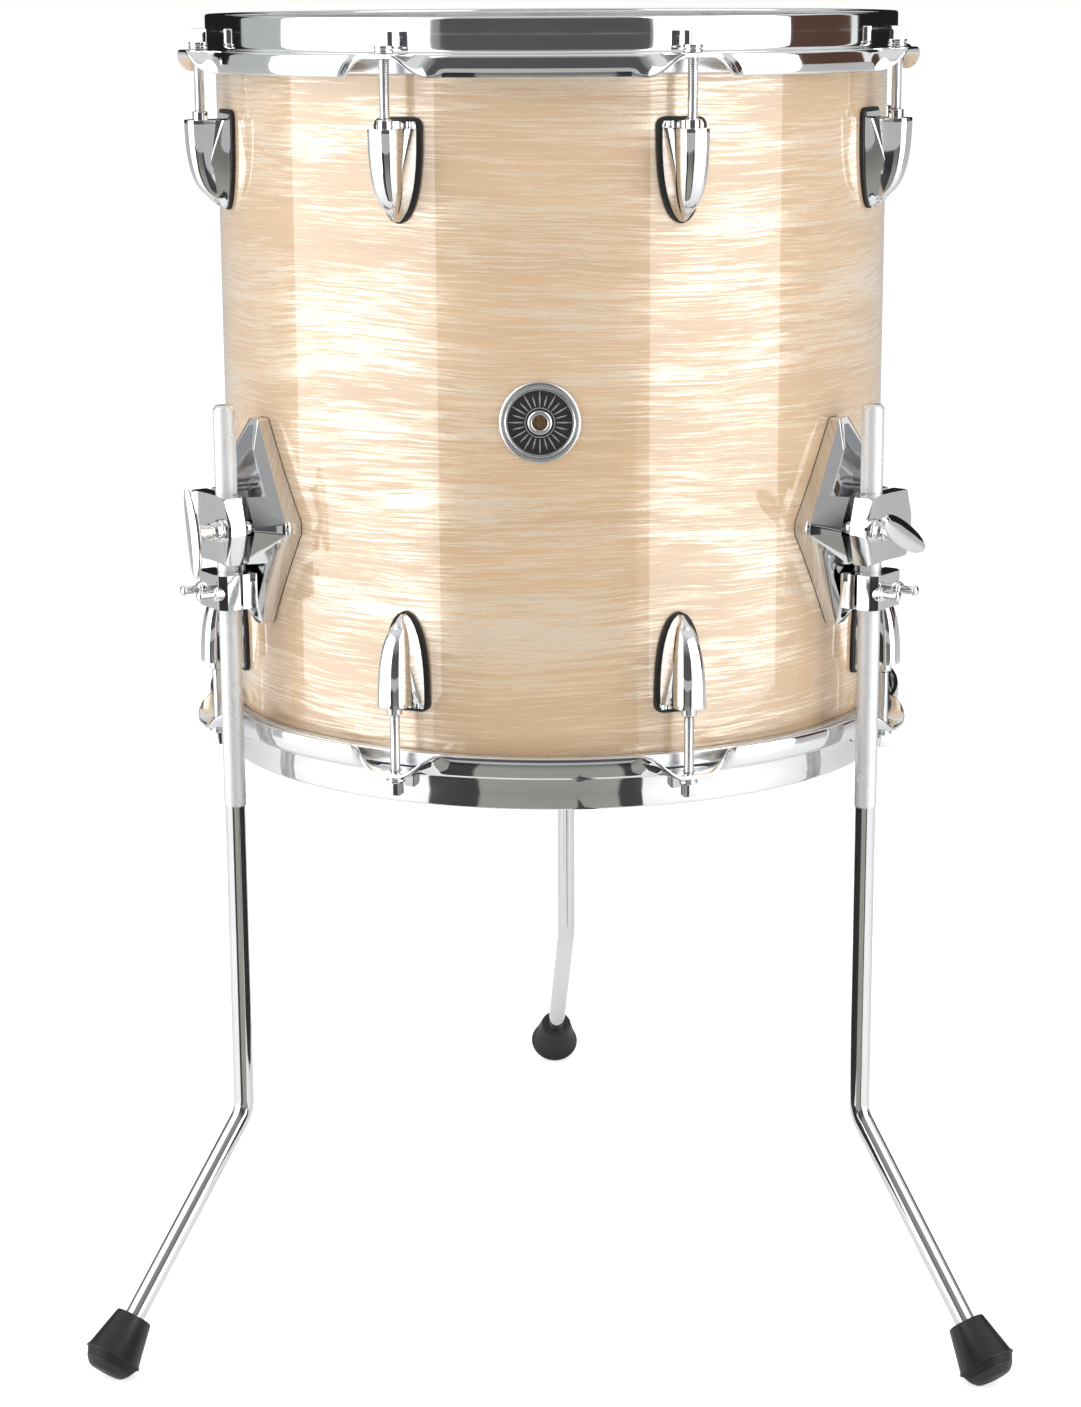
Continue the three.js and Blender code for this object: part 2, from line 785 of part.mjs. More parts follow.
function footGeometry() {
  const lean = radians(splayAngle);
  const hole = bore(legRadius + footBoreGap, legSides);
  const rim = -footRimHeight;
  const body = turned([
    [0, treadLow],
    [footTreadRadius - footEdgeRound, treadLow],
    [footTreadRadius, treadLow + footEdgeRound],
    [footRimRadius, rim],
    [footRimRadius - footRimRound, rim + footRimRound],
    [footTopRadius, -footTopRound],
    [footTopRadius - footTopRound, 0],
    [0, 0],
  ], footSides);
  const socket = rod(hole, -footBoreDepth, overrun, legSides);
  const placed = (geometry) => solid(geometry
    .rotateX(-lean)
    .translate(0, -footFromBend * Math.sin(lean), bendHeight - footFromBend * Math.cos(lean)));
  const reach = footFromBend + bracketLength;
  const floor = new THREE.BoxGeometry(2 * reach, 2 * reach, reach).translate(0, 0, -reach / 2);
  return meshed(placed(body).subtract(placed(socket)).subtract(solid(floor)));
}

// The lock is drawn from the bracket's mid-height, like the clamp above it
function lockGeometry() {
  const top = -clampBelow - lockBelowClamp;
  const low = top - lockHeight;
  const front = lockFront;
  const back = -lockBack;
  const outline = [
    [-lockHalfWidth, back],
    [lockHalfWidth, back],
    [lockHalfWidth, front - lockBevel],
    [lockHalfWidth - lockBevel, front],
    [-lockHalfWidth + lockBevel, front],
    [-lockHalfWidth, front - lockBevel],
  ];
  const level = (points, height) =>
    points.map(([x, out]) => new THREE.Vector3(x, -legCircleRadius - out, height));
  const tongue = [
    [-lockTongueHalfWidth, back],
    [lockTongueHalfWidth, back],
    [lockTongueHalfWidth, back + lockTongueDepth],
    [-lockTongueHalfWidth, back + lockTongueDepth],
  ];
  let body = solid(skin([level(outline, low), level(outline, top)]));
  body = body.add(solid(skin([level(tongue, low), level(tongue, -clampBelow - restGap)])));
  [-1, 1].forEach((side) => {
    const screw = turned([
      [0, 0],
      [keyScrewCollarRadius, 0],
      [keyScrewCollarRadius, front + keyScrewCollar],
      [keyScrewRadius, front + keyScrewCollar],
      [keyScrewRadius, front + keyScrewReach],
      [0, front + keyScrewReach],
    ], rodSides);
    const across = (side * keyScrewSpacing) / 2;
    body = body.add(solid(outward(screw).translate(across, -legCircleRadius, top - keyScrewDrop)));
    const slit = new THREE.BoxGeometry(2 * lockSlitDepth, lockSlit, 2 * lockHeight + 2 * overrun);
    body = body.subtract(solid(slit.translate(side * lockHalfWidth, -legCircleRadius, top)));
  });
  const drill = rod(bore(knurlRadius + legGrip, legSides), low - overrun, top + clampBelow, legSides);
  return meshed(body.subtract(solid(drill.translate(0, -legCircleRadius, 0))));
}

piece('shell', shellGeometry(), wood, drum);
piece('shell_wrap', wrapGeometry(), pearl, drum);
piece('badge', badgeGeometry(), badgeMetal, drum);
piece('vent_grommet', eyeletGeometry(), chrome, drum);

const headShape = headGeometry();
const fleshHoopShape = fleshHoopGeometry();
const hoopShape = hoopGeometry();
const lugShape = lugGeometry();
const tensionRodShape = tensionRodGeometry();
const sides = [
  { name: 'batter', group: batterSide, film: coatedFilm, turn: 1 },
  { name: 'resonant', group: resonantSide, film: clearFilm, turn: -1 },
];
sides.forEach(({ name, group, film, turn }) => {
  piece(`${name}_head`, headShape, film, group);
  piece(`${name}_flesh_hoop`, fleshHoopShape, aluminium, group);
  piece(`${name}_hoop`, hoopShape, chrome, group);
  for (let k = 0; k < tuningPoints; k += 1) {
    piece(`${name}_lug_${k + 1}`, lugShape, chrome, group, turn * pointAngle(k));
    piece(`${name}_rod_${k + 1}`, tensionRodShape, chrome, group, turn * pointAngle(k));
  }
});

const legShape = legGeometry();
const footShape = footGeometry();
const lockShape = lockGeometry();
const upright = new THREE.Vector3(0, 0, 1);
legSets.forEach(({ side, angle, footAngle, boltSide, wingTurn }) => {
  const mount = new THREE.Group();
  mount.rotation.z = radians(angle);
  mount.position.z = bracketHeight;
  drum.add(mount);
  piece(`${side}_leg_bracket`, bracketGeometry(boltSide, angle), chrome, mount);
  piece(`${side}_bracket_cap`, capGeometry(boltSide), chrome, mount);
  const wing = piece(`${side}_wing_bolt`, wingBoltGeometry(wingTurn), chrome, mount);
  wing.position.x = boltSide * boltOffset;
  piece(`${side}_leg_lock`, lockShape, chrome, mount);
  const stand = new THREE.Group();
  stand.position.set(0, -legCircleRadius, 0).applyAxisAngle(upright, radians(angle));
  stand.rotation.z = radians(footAngle);
  drum.add(stand);
  piece(`${side}_leg`, legShape, chrome, stand);
  piece(`${side}_foot`, footShape, rubber, stand);
});

// The origin is on the floor under the middle of the whole object's box
drum.updateMatrixWorld(true);
const middle = new THREE.Box3().setFromObject(drum, true).getCenter(new THREE.Vector3());
drum.position.set(-middle.x, -middle.y, 0);

export default drum;
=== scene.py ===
"""A floor tom in pearl wrap and chrome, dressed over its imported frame.

Shapes are drawn in millimetres on the drum's axis, with its front at -Y, and are scaled
to metres as each piece is placed. Angles round the drum run from the front towards +X.
"""

import math

import bmesh
import bpy
from bpy.props import FloatProperty, FloatVectorProperty, IntProperty, PointerProperty
from mathutils import Matrix, Vector


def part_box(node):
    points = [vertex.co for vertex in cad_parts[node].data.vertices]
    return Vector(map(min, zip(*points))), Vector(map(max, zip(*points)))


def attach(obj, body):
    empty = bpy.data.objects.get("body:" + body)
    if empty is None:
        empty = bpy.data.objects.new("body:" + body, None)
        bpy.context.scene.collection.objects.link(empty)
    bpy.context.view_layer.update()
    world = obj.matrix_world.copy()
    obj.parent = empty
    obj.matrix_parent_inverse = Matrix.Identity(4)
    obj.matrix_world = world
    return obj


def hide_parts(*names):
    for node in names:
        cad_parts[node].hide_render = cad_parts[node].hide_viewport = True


bl_info = {
    "name": "Floor Tom",
    "version": (1, 0, 0),
    "blender": (4, 5, 0),
    "location": "3D View > Sidebar > Floor Tom",
    "description": "Builds the shell, heads, hoops, lugs, rods, brackets, legs and feet of a floor tom",
    "category": "Object",
}

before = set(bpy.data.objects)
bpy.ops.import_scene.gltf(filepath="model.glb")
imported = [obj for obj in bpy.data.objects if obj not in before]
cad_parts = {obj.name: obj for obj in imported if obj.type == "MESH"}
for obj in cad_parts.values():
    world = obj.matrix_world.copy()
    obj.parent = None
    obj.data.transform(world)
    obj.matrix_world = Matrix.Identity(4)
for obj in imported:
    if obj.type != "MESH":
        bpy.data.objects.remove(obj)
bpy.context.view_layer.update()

MM = 0.001
WRAP_LOW, WRAP_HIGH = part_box("shell_wrap")
SHELL_LOW, SHELL_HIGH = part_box("shell")
AXIS = Vector(((SHELL_LOW.x + SHELL_HIGH.x) / 2, (SHELL_LOW.y + SHELL_HIGH.y) / 2, 0))
WRAP_RADIUS = (WRAP_HIGH.x - WRAP_LOW.x) / 2 / MM
BASE = SHELL_LOW.z / MM
TOP = SHELL_HIGH.z / MM

# The drum's circles and heights
SHELL_RADIUS = WRAP_RADIUS - 0.7
SHELL_WALL = 6
SHELL_INNER = SHELL_RADIUS - SHELL_WALL
BEARING_EDGE = SHELL_RADIUS - 2
WRAP_STEP = 3.2
ROD_CIRCLE = WRAP_RADIUS + 14.5
LEG_CIRCLE = WRAP_RADIUS + 23.4
SIDES = ("batter", "resonant")
POINTS = 8
FIRST_POINT = -22.5
ROUND_STEPS = 240

# Badge and vent
BADGE_HEIGHT = 500
BADGE_STEPS = 96
VENT_RADIUS = 4.8

# Heads
FILM = 0.3
FILM_LIFT = 0.3
COLLAR_CIRCLE = WRAP_RADIUS + 0.5
COLLAR_TOP = -1.3
COLLAR_END = -7
FLESH_WIDTH = 4.5
FLESH_TOP = -3.5
FLESH_HEIGHT = 7.6

# Hoops
HOOP_BAND = WRAP_RADIUS + 5
HOOP_SHEET = 2.3
HOOP_RISE = 16.2
LEDGE_TOP = -0.9
FOLD_RADIUS = WRAP_RADIUS + 10.2
SKIRT_LENGTH = 9.1
EAR_LENGTH = 13.1
EAR_FLAT = 12.6
EAR_ARCH = 60
HOOP_STEPS = 720

# Lugs
LUG_DROP = 31
LUG_LENGTH = 51
LUG_HALF_WIDTH = 12.9
LUG_THINNEST = 0.2
LUG_REACH = 22.6
LUG_INSET = 2
LUG_SHOULDER = 4.5
LUG_PLATE = 2.8
BARREL_HALF_WIDTH = 7.9
BARREL_END = 0.93
BARREL_BACK = 4
SHELF = 5
GASKET = 1.8

# Tension rods
KEY_SIDE = 6.35
ROD_RADIUS = 2.75
HEAD_TURNS = [84.5, 4.5, 47.5, 48, 20, 5, 62, 37.5]

# Leg brackets, drawn from their own mid-height
BRACKET_HEIGHT = 438.5
SPLIT_INNER = LEG_CIRCLE - 1.5
SPLIT_OUTER = LEG_CIRCLE + 1.5
CAP_FRONT = SPLIT_OUTER + 9.5
CLAMP_ABOVE = 16.5
CLAMP_BELOW = 18
CLAMP_HALF = 19.2
CLAMP_STRIP = 1.9
SEAT_APEX = 26.6
CAP_APEX = 23.3
CAP_CHAMFER = 1.2
DISH_RADIUS = 70
DISH_DEPTH = 2.4
BRACKET_HALF_LENGTH = 53.5
BRACKET_HALF_WIDTH = 31.5
BRACKET_PLATE = 6.5
BRACKET_CROWN = 6
BRACKET_SUNK = WRAP_RADIUS - 8
POCKET_DEPTH = 9.5
BOLT_OFFSET = 14.6
BOLT_RADIUS = 3.9
PAST_BRACKET = 80

# Height locks
LOCK_TOP = -CLAMP_BELOW - 6.2
LOCK_HEIGHT = 18
LOCK_HALF = 14
KEY_SCREW_ACROSS = 9

# Legs and feet
KNURL_RADIUS = 5.75
LEG_RADIUS = 5.3
LEG_TOP = 500
KNURL_END = 289.5
BEND_HEIGHT = 119.5
BEND_RADIUS = 16
LEAN = math.radians(42.5)
BEND_TANGENT = BEND_RADIUS * math.tan(LEAN / 2)
BEND_START = BEND_HEIGHT + BEND_TANGENT
BEND_ARC = BEND_RADIUS * LEAN
FOOT_PRESS = 0.9
FOOT_TREAD = [(8.8, -32.3), (12.2, -28.9)]
FOOT_REACH = max(r * math.sin(LEAN) - z * math.cos(LEAN) for r, z in FOOT_TREAD)
FOOT_FROM_BEND = (BEND_HEIGHT + FOOT_PRESS - FOOT_REACH) / math.cos(LEAN)
LEG_IN_FOOT = 17.7
LEGS = [
    {"side": "left", "angle": -54.4, "foot": -38.5, "bolt": 1, "wing": -10},
    {"side": "right", "angle": 55.8, "foot": 39.7, "bolt": -1, "wing": -63},
    {"side": "back", "angle": 180, "foot": 186.7, "bolt": 1, "wing": 20},
]


# Moves

OUTWARD = Matrix.Rotation(math.pi / 2, 4, "X")
UPSIDE_DOWN = Matrix.Rotation(math.pi, 4, "Y")


def turned_about(angle):
    """Stands a shape drawn on the drum's front at another angle round the drum."""
    return Matrix.Rotation(math.radians(angle), 4, "Z")


def raised(height):
    return Matrix.Translation((0, 0, height))


def stood_out(distance, across=0):
    """Moves a shape out from the axis towards the front, and across it."""
    return Matrix.Translation((across, -distance, 0))


def side_moves(side):
    """The batter side is drawn as it lies, and the resonant side is the same turned over."""
    return [raised(TOP)] if side == "batter" else [raised(BASE), UPSIDE_DOWN]


def point_angle(k, side="batter"):
    return (FIRST_POINT + 360 / POINTS * k) * (1 if side == "batter" else -1)


def every_point():
    """Each tuning point's side and number, and the moves that stand a shape there."""
    for side in SIDES:
        for k in range(POINTS):
            yield side, k, [*side_moves(side), turned_about(point_angle(k, side))]


def bracket_moves(leg):
    return [raised(BRACKET_HEIGHT), turned_about(leg["angle"])]


def leg_moves(leg):
    return [turned_about(leg["angle"]), stood_out(LEG_CIRCLE), turned_about(leg["foot"] - leg["angle"])]


# Shaping


def mirrored(half, shared=0):
    """A half outline followed by its mirror image, without the points they share."""
    return [*half, *[(-x, y) for x, y in reversed(half[: len(half) - shared])]]


def section(inner, outer, low, high):
    """The four corners of a ring's section, in [radius, height] points."""
    return [(inner, low), (outer, low), (outer, high), (inner, high)]


def wire(points, closed=False):
    """A bmesh that holds one chain of [radius, height] points."""
    bm = bmesh.new()
    verts = [bm.verts.new((r, 0, z)) for r, z in points]
    for a, b in zip(verts, verts[1:]):
        bm.edges.new((a, b))
    if closed:
        bm.edges.new((verts[-1], verts[0]))
    bm.verts.ensure_lookup_table()
    return bm


def soften(bm, corners):
    """Rounds corners of a wire, given as {index: radius}."""
    for vert, radius in [(bm.verts[i], radius) for i, radius in corners.items()]:
        bmesh.ops.bevel(
            bm,
            geom=[vert],
            offset=radius,
            offset_type="OFFSET",
            affect="VERTICES",
            segments=3,
            profile=0.5,
            material=-1,
        )


def lathe(bm, steps=ROUND_STEPS):
    """Spins a wire round Z and closes the seam and the poles."""
    bmesh.ops.spin(
        bm,
        geom=bm.verts[:] + bm.edges[:],
        cent=(0, 0, 0),
        axis=(0, 0, 1),
        angle=2 * math.pi,
        steps=steps,
        use_merge=True,
        use_duplicate=False,
    )
    bmesh.ops.remove_doubles(bm, verts=bm.verts, dist=1e-4)
    bmesh.ops.recalc_face_normals(bm, faces=bm.faces)
    return bm


def turned(points, corners=None, steps=48, closed=False):
    """A round shape with some corners of its profile softened."""
    bm = wire(points, closed)
    soften(bm, corners or {})
    return lathe(bm, steps)


def upright_bar(radius, low, high, steps=48):
    return turned(section(0, radius, low, high), steps=steps)


def upright_ring(inner, outer, low, high, steps=ROUND_STEPS, corners=None):
    return turned(section(inner, outer, low, high), corners, steps, closed=True)


def loft(rings):
    """Extrudes one ring of points through the others and closes both ends."""
    bm = bmesh.new()
    first = [bm.verts.new(p) for p in rings[0]]
    count = len(first)
    for i in range(count):
        bm.edges.new((first[i], first[(i + 1) % count]))
    ring = first
    for points in rings[1:]:
        edges = [bm.edges.get((ring[i], ring[(i + 1) % count])) for i in range(count)]
        made = bmesh.ops.extrude_edge_only(bm, edges=edges)
        new = {v for v in made["geom"] if isinstance(v, bmesh.types.BMVert)}
        above = []
        for vert in ring:
            above.append(next(e.other_vert(vert) for e in vert.link_edges if e.other_vert(vert) in new))
        for vert, point in zip(above, points):
            vert.co = point
        ring = above
    bmesh.ops.contextual_create(bm, geom=first)
    bmesh.ops.contextual_create(bm, geom=ring)
    bmesh.ops.remove_doubles(bm, verts=bm.verts, dist=1e-4)
    bmesh.ops.recalc_face_normals(bm, faces=bm.faces)
    return bm


def facing(outlines):
    """Lofts outlines of [across, up] pairs, each facing -Y at its own distance out."""
    return loft([[(x, -out, z) for x, z in outline] for outline, out in outlines])


def slab(outline, low, high):
    """A flat outline of [across, up] pairs, stood facing -Y between two distances out."""
    return facing([(outline, low), (outline, high)])


def hull(outlines):
    """The tight skin round outlines that face -Y at their own distances out."""
    bm = bmesh.new()
    for outline, out in outlines:
        for x, z in outline:
            bm.verts.new((x, -out, z))
    made = bmesh.ops.convex_hull(bm, input=bm.verts[:])
    bmesh.ops.delete(bm, geom=list(set(made["geom_interior"] + made["geom_unused"])), context="VERTS")
    bmesh.ops.dissolve_limit(bm, angle_limit=math.radians(0.5), verts=bm.verts, edges=bm.edges)
    bmesh.ops.recalc_face_normals(bm, faces=bm.faces)
    return bm


def moved(bm, *moves):
    """The bmesh itself, moved by each matrix in turn, the last one first."""
    where = Matrix.Identity(4)
    for move in moves:
        where = where @ move
    bmesh.ops.transform(bm, matrix=where, verts=bm.verts)
    return bm


def cuboid(centre, size):
    bm = bmesh.new()
    bmesh.ops.create_cube(bm, size=1)
    return moved(bm, Matrix.Translation(centre), Matrix.Diagonal((*size, 1)))


def block(low, high):
    """A box between two corners."""
    low, high = Vector(low), Vector(high)
    return cuboid((low + high) / 2, high - low)


def rounded(outline, radius, steps=8):
    """An outline of [across, up] pairs with each corner turned into an arc."""
    points = [Vector(p) for p in outline]
    out = []
    for i, corner in enumerate(points):
        back = points[i - 1] - corner
        on = points[(i + 1) % len(points)] - corner
        before, after = back.normalized(), on.normalized()
        half = before.angle(after) / 2
        cut = min(radius / math.tan(half), 0.45 * min(back.length, on.length))
        middle = corner + (before + after).normalized() * (cut / math.cos(half))
        start, end = corner + before * cut, corner + after * cut
        for k in range(steps + 1):
            mixed = start.lerp(end, k / steps) - middle
            out.append(tuple(middle + mixed.normalized() * (cut * math.tan(half))))
    return out


def bevelled(bm, offset, segments, only, sharper=30):
    """Rounds the chosen edges that are sharper than an angle in degrees."""
    edges = [
        e
        for e in bm.edges
        if len(e.link_faces) == 2 and e.calc_face_angle(0) > math.radians(sharper) and only(e)
    ]
    bmesh.ops.bevel(
        bm,
        geom=edges,
        offset=offset,
        offset_type="OFFSET",
        affect="EDGES",
        segments=segments,
        profile=0.5,
        clamp_overlap=True,
        material=-1,
    )
    return bm


def joined(bm, other):
    """Adds another bmesh's faces as they are."""
    carrier = bpy.data.meshes.new("carrier")
    other.to_mesh(carrier)
    bm.from_mesh(carrier)
    bpy.data.meshes.remove(carrier)
    other.free()
    return bm


def boolean(bm, other, operation="DIFFERENCE"):
    """Cuts or fuses one closed bmesh with another and gives back a new one."""
    holders = []
    for shape in (bm, other):
        bmesh.ops.triangulate(shape, faces=[f for f in shape.faces if len(f.verts) > 4])
        mesh = bpy.data.meshes.new("holder")
        shape.to_mesh(mesh)
        shape.free()
        holder = bpy.data.objects.new("holder", mesh)
        bpy.context.scene.collection.objects.link(holder)
        holders.append(holder)
    body, tool = holders
    cut = body.modifiers.new("cut", "BOOLEAN")
    cut.operation = operation
    cut.solver = "MANIFOLD"
    cut.object = tool
    graph = bpy.context.evaluated_depsgraph_get()
    result = bpy.data.meshes.new_from_object(body.evaluated_get(graph))
    out = bmesh.new()
    out.from_mesh(result)
    for holder in holders:
        mesh = holder.data
        bpy.data.objects.remove(holder)
        bpy.data.meshes.remove(mesh)
    bpy.data.meshes.remove(result)
    bmesh.ops.remove_doubles(out, verts=out.verts, dist=1e-4)
    return out


# How far out from the wrap a shape stops following its curve
FOLLOW_FADE = 6.0


def follow_shell(bm):
    """Bends a flat-backed shape on the front so that its back lies on the shell."""
    for vert in bm.verts:
        x, y, z = vert.co
        sag = WRAP_RADIUS - math.sqrt(max(WRAP_RADIUS * WRAP_RADIUS - x * x, 0))
        depth = max(-y - WRAP_RADIUS, 0)
        vert.co = (x, y + sag * max(0.0, 1 - depth / FOLLOW_FADE), z)
    return bm


def roll_round_shell(bm):
    """Rolls a flat shape on the front round the shell, so that its width becomes an arc."""
    for vert in bm.verts:
        x, y, z = vert.co
        a = x / WRAP_RADIUS
        vert.co = (-y * math.sin(a), y * math.cos(a), z)
    return bm


def drawn_in(vert, cut):
    """Moves a vertex towards Z by a depth."""
    r = math.hypot(vert.co.x, vert.co.y)
    vert.co.x *= (r - cut) / r
    vert.co.y *= (r - cut) / r


def shaded(bm, sharp):
    for face in bm.faces:
        face.smooth = True
    for edge in bm.edges:
        edge.smooth = len(edge.link_faces) == 2 and edge.calc_face_angle(0) < math.radians(sharp)


def finish_piece(name, bm, finish, nodes=(), moves=(), body="root", sharp=35, ease=0):
    """Places a shape in the row frame and makes it a piece that rides on a body."""
    moved(bm, Matrix.Translation(AXIS), Matrix.Scale(MM, 4), *moves)
    shaded(bm, sharp)
    mesh = bpy.data.meshes.new(name)
    bm.to_mesh(mesh)
    bm.free()
    mesh.materials.append(finish_named(finish))
    piece = bpy.data.objects.new(name, mesh)
    bpy.context.scene.collection.objects.link(piece)
    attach(piece, body)
    if nodes:
        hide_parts(*nodes)
    if ease:
        edges = piece.modifiers.new("eased_edges", "BEVEL")
        edges.width = ease * MM
        edges.segments = 2
        edges.limit_method = "ANGLE"
        edges.angle_limit = math.radians(18)
        edges.harden_normals = True
        edges.miter_outer = "MITER_ARC"
        planes = piece.modifiers.new("plane_faces", "WEIGHTED_NORMAL")
        planes.weight = 90
        planes.keep_sharp = True


# Finishes


def add_node(tree, kind, values=None, **settings):
    """A node with its settings, whose inputs are linked to sockets or hold plain values."""
    node = tree.nodes.new(kind)
    for key, value in settings.items():
        setattr(node, key, value)
    for key, value in (values or {}).items():
        if isinstance(value, bpy.types.NodeSocket):
            tree.links.new(value, node.inputs[key])
        else:
            node.inputs[key].default_value = value
    return node


class Finish:
    """A material in the making: its tree, its shader and its Object coordinates."""

    def __init__(self, name, **shader):
        self.material = bpy.data.materials.new(name)
        self.material.use_nodes = True
        self.tree = self.material.node_tree
        self.shader = self.tree.nodes["Principled BSDF"]
        for key, value in shader.items():
            self.shader.inputs[key.replace("_", " ")].default_value = value
        self.place = self.add("ShaderNodeTexCoord").outputs["Object"]

    def add(self, kind, values=None, **settings):
        return add_node(self.tree, kind, values, **settings)

    def link(self, value, key):
        self.tree.links.new(value, self.shader.inputs[key])

    def mapped(self, scale, vector=None):
        values = {"Vector": vector or self.place, "Scale": scale}
        return self.add("ShaderNodeMapping", values).outputs["Vector"]

    def noise(self, scale, detail=2.0, roughness=0.5, vector=None, distortion=0.0):
        values = {
            "Vector": vector or self.place,
            "Scale": scale,
            "Detail": detail,
            "Roughness": roughness,
            "Distortion": distortion,
        }
        return self.add("ShaderNodeTexNoise", values).outputs["Fac"]

    def spread(self, value, low=0.3, high=0.7, to_low=0.0, to_high=1.0):
        values = {"Value": value, "From Min": low, "From Max": high, "To Min": to_low, "To Max": to_high}
        return self.add("ShaderNodeMapRange", values).outputs["Result"]

    def math(self, operation, a, b=0.0):
        return self.add("ShaderNodeMath", {0: a, 1: b}, operation=operation).outputs[0]

    def swing(self, value, reach):
        """A noise moved to swing about zero by its share of a reach."""
        return self.math("MULTIPLY", self.math("SUBTRACT", value, 0.5), reach)

    def blend(self, factor, a, b):
        return self.add("ShaderNodeMix", {0: factor, 6: a, 7: b}, data_type="RGBA").outputs[2]

    def paint(self, factor, a, b):
        self.link(self.blend(factor, (*a, 1.0), (*b, 1.0)), "Base Color")

    def roughen(self, value, low, high):
        self.link(self.spread(value, to_low=low, to_high=high), "Roughness")

    def bump(self, height, distance, strength=1.0):
        values = {"Height": height, "Distance": distance, "Strength": strength}
        self.link(self.add("ShaderNodeBump", values).outputs["Normal"], "Normal")


def pearl_finish(looks):
    """Gloss over a tan ground with cream streaks that wander round the shell."""
    f = Finish("pearl_wrap", IOR=1.5, Coat_Weight=1.0, Coat_Roughness=0.012, Coat_IOR=1.7)
    drift = f.swing(f.noise(5.5), 0.024)
    quiver = f.swing(f.noise(40.0), 0.0012)
    shift = f.add("ShaderNodeCombineXYZ", {"Z": f.math("ADD", drift, quiver)}).outputs[0]
    wandering = f.add("ShaderNodeVectorMath", {0: f.place, 1: shift}, operation="ADD").outputs[0]
    brushed = f.mapped((1, 1, looks.streak_flatness), wandering)
    broad = f.noise(19.0, 5.0, 0.68, brushed)
    fine = f.noise(48.0, 4.0, 0.72, brushed)
    cluster = f.noise(11.0, vector=f.mapped((1, 1, 3.5), wandering))
    fibres = f.math("ADD", f.math("MULTIPLY", broad, 0.55), f.math("MULTIPLY", fine, 0.45))
    fibres = f.math("ADD", fibres, f.swing(cluster, 0.3))
    streak = f.spread(fibres, 0.485, 0.6)
    cloud = f.spread(f.noise(7.0, 3.0, 0.6, f.mapped((1, 1, 12), wandering)), 0.35)
    ground = f.blend(cloud, (*looks.pearl_ground, 1.0), (*looks.pearl_shade, 1.0))
    f.link(f.blend(streak, ground, (*looks.pearl_streak, 1.0)), "Base Color")
    f.link(f.spread(streak, 0, 1, 0.0, 0.45), "Metallic")
    f.link(f.spread(streak, 0, 1, 0.4, 0.24), "Roughness")
    f.bump(fibres, 0.0002, 0.3)
    return f.material


def plate(f, looks):
    """Gives a finish the plating's colour, a little darker in clouds."""
    darker = [0.94 * c for c in looks.chrome_tint]
    f.paint(f.spread(f.noise(25.0)), darker, looks.chrome_tint)


def chrome_finish(looks, name="chrome", roughness=(0.03, 0.08), ripple=0.0):
    """Bright plating with the faint haze and waviness of polished metal."""
    f = Finish(name, Metallic=1.0)
    f.roughen(f.noise(60.0, 3.0), *roughness)
    plate(f, looks)
    if ripple:
        f.bump(f.noise(90.0, 1.0), ripple)
    return f.material


def leg_finish(looks):
    """Plating that is dull in the knurl and a mirror on the plain rod below it."""
    f = Finish("leg_chrome", Metallic=1.0)
    height = f.add("ShaderNodeSeparateXYZ", {0: f.place}).outputs["Z"]
    knurled = f.spread(height, (KNURL_END - 0.6) * MM, (KNURL_END + 0.3) * MM)
    haze = f.noise(60.0, 3.0)
    smooth = f.spread(haze, to_low=0.03, to_high=0.07)
    rough = f.spread(haze, to_low=0.2, to_high=0.3)
    share = f.math("MULTIPLY", knurled, f.math("SUBTRACT", rough, smooth))
    f.link(f.math("ADD", smooth, share), "Roughness")
    f.link(f.spread(knurled, 0, 1, 1.0, 0.6), "Metallic")
    plate(f, looks)
    return f.material


def maple_finish(looks):
    """Pale maple with its grain along the shell's height and a satin lacquer."""
    f = Finish("maple", Coat_Weight=0.3, Coat_Roughness=0.25)
    along = f.mapped((1, 1, 0.06))
    grain = f.spread(f.noise(110.0, 4.0, 0.6, along, 0.4), 0.35)
    pores = f.noise(420.0, vector=along)
    f.paint(grain, looks.maple_light, looks.maple_dark)
    f.roughen(pores, 0.42, 0.6)
    f.bump(pores, 0.0001, 0.4)
    return f.material


def aluminium_finish():
    f = Finish("rolled_aluminium", Metallic=1.0)
    drawn = f.noise(160.0, 3.0, 0.6, f.mapped((1, 1, 14)))
    f.paint(drawn, (0.62, 0.63, 0.65), (0.8, 0.81, 0.82))
    f.roughen(drawn, 0.25, 0.42)
    f.bump(drawn, 0.00008, 0.5)
    return f.material


def coated_film_finish():
    """White film with a rough sprayed coating."""
    f = Finish("coated_film")
    grit = f.noise(900.0, 3.0, 0.7)
    f.paint(f.noise(18.0, 3.0), (0.84, 0.84, 0.82), (0.9, 0.9, 0.89))
    f.roughen(grit, 0.55, 0.75)
    f.bump(grit, 0.00012, 0.6)
    return f.material


def clear_film_finish():
    """Clear polyester film with a slight haze."""
    f = Finish("clear_film", IOR=1.6, Alpha=0.35)
    haze = f.noise(30.0, 4.0)
    f.paint(haze, (0.82, 0.85, 0.87), (0.9, 0.92, 0.93))
    f.roughen(haze, 0.12, 0.22)
    return f.material


def rubber_finish(name, tone, roughness=(0.5, 0.66)):
    """Moulded black rubber with lighter clouds and a fine grain."""
    f = Finish(name)
    cloud = f.noise(45.0, 3.0)
    f.paint(cloud, tone, [1.7 * c for c in tone])
    f.roughen(cloud, *roughness)
    f.bump(f.noise(600.0, 3.0, 0.6), 0.0001, 0.35)
    return f.material


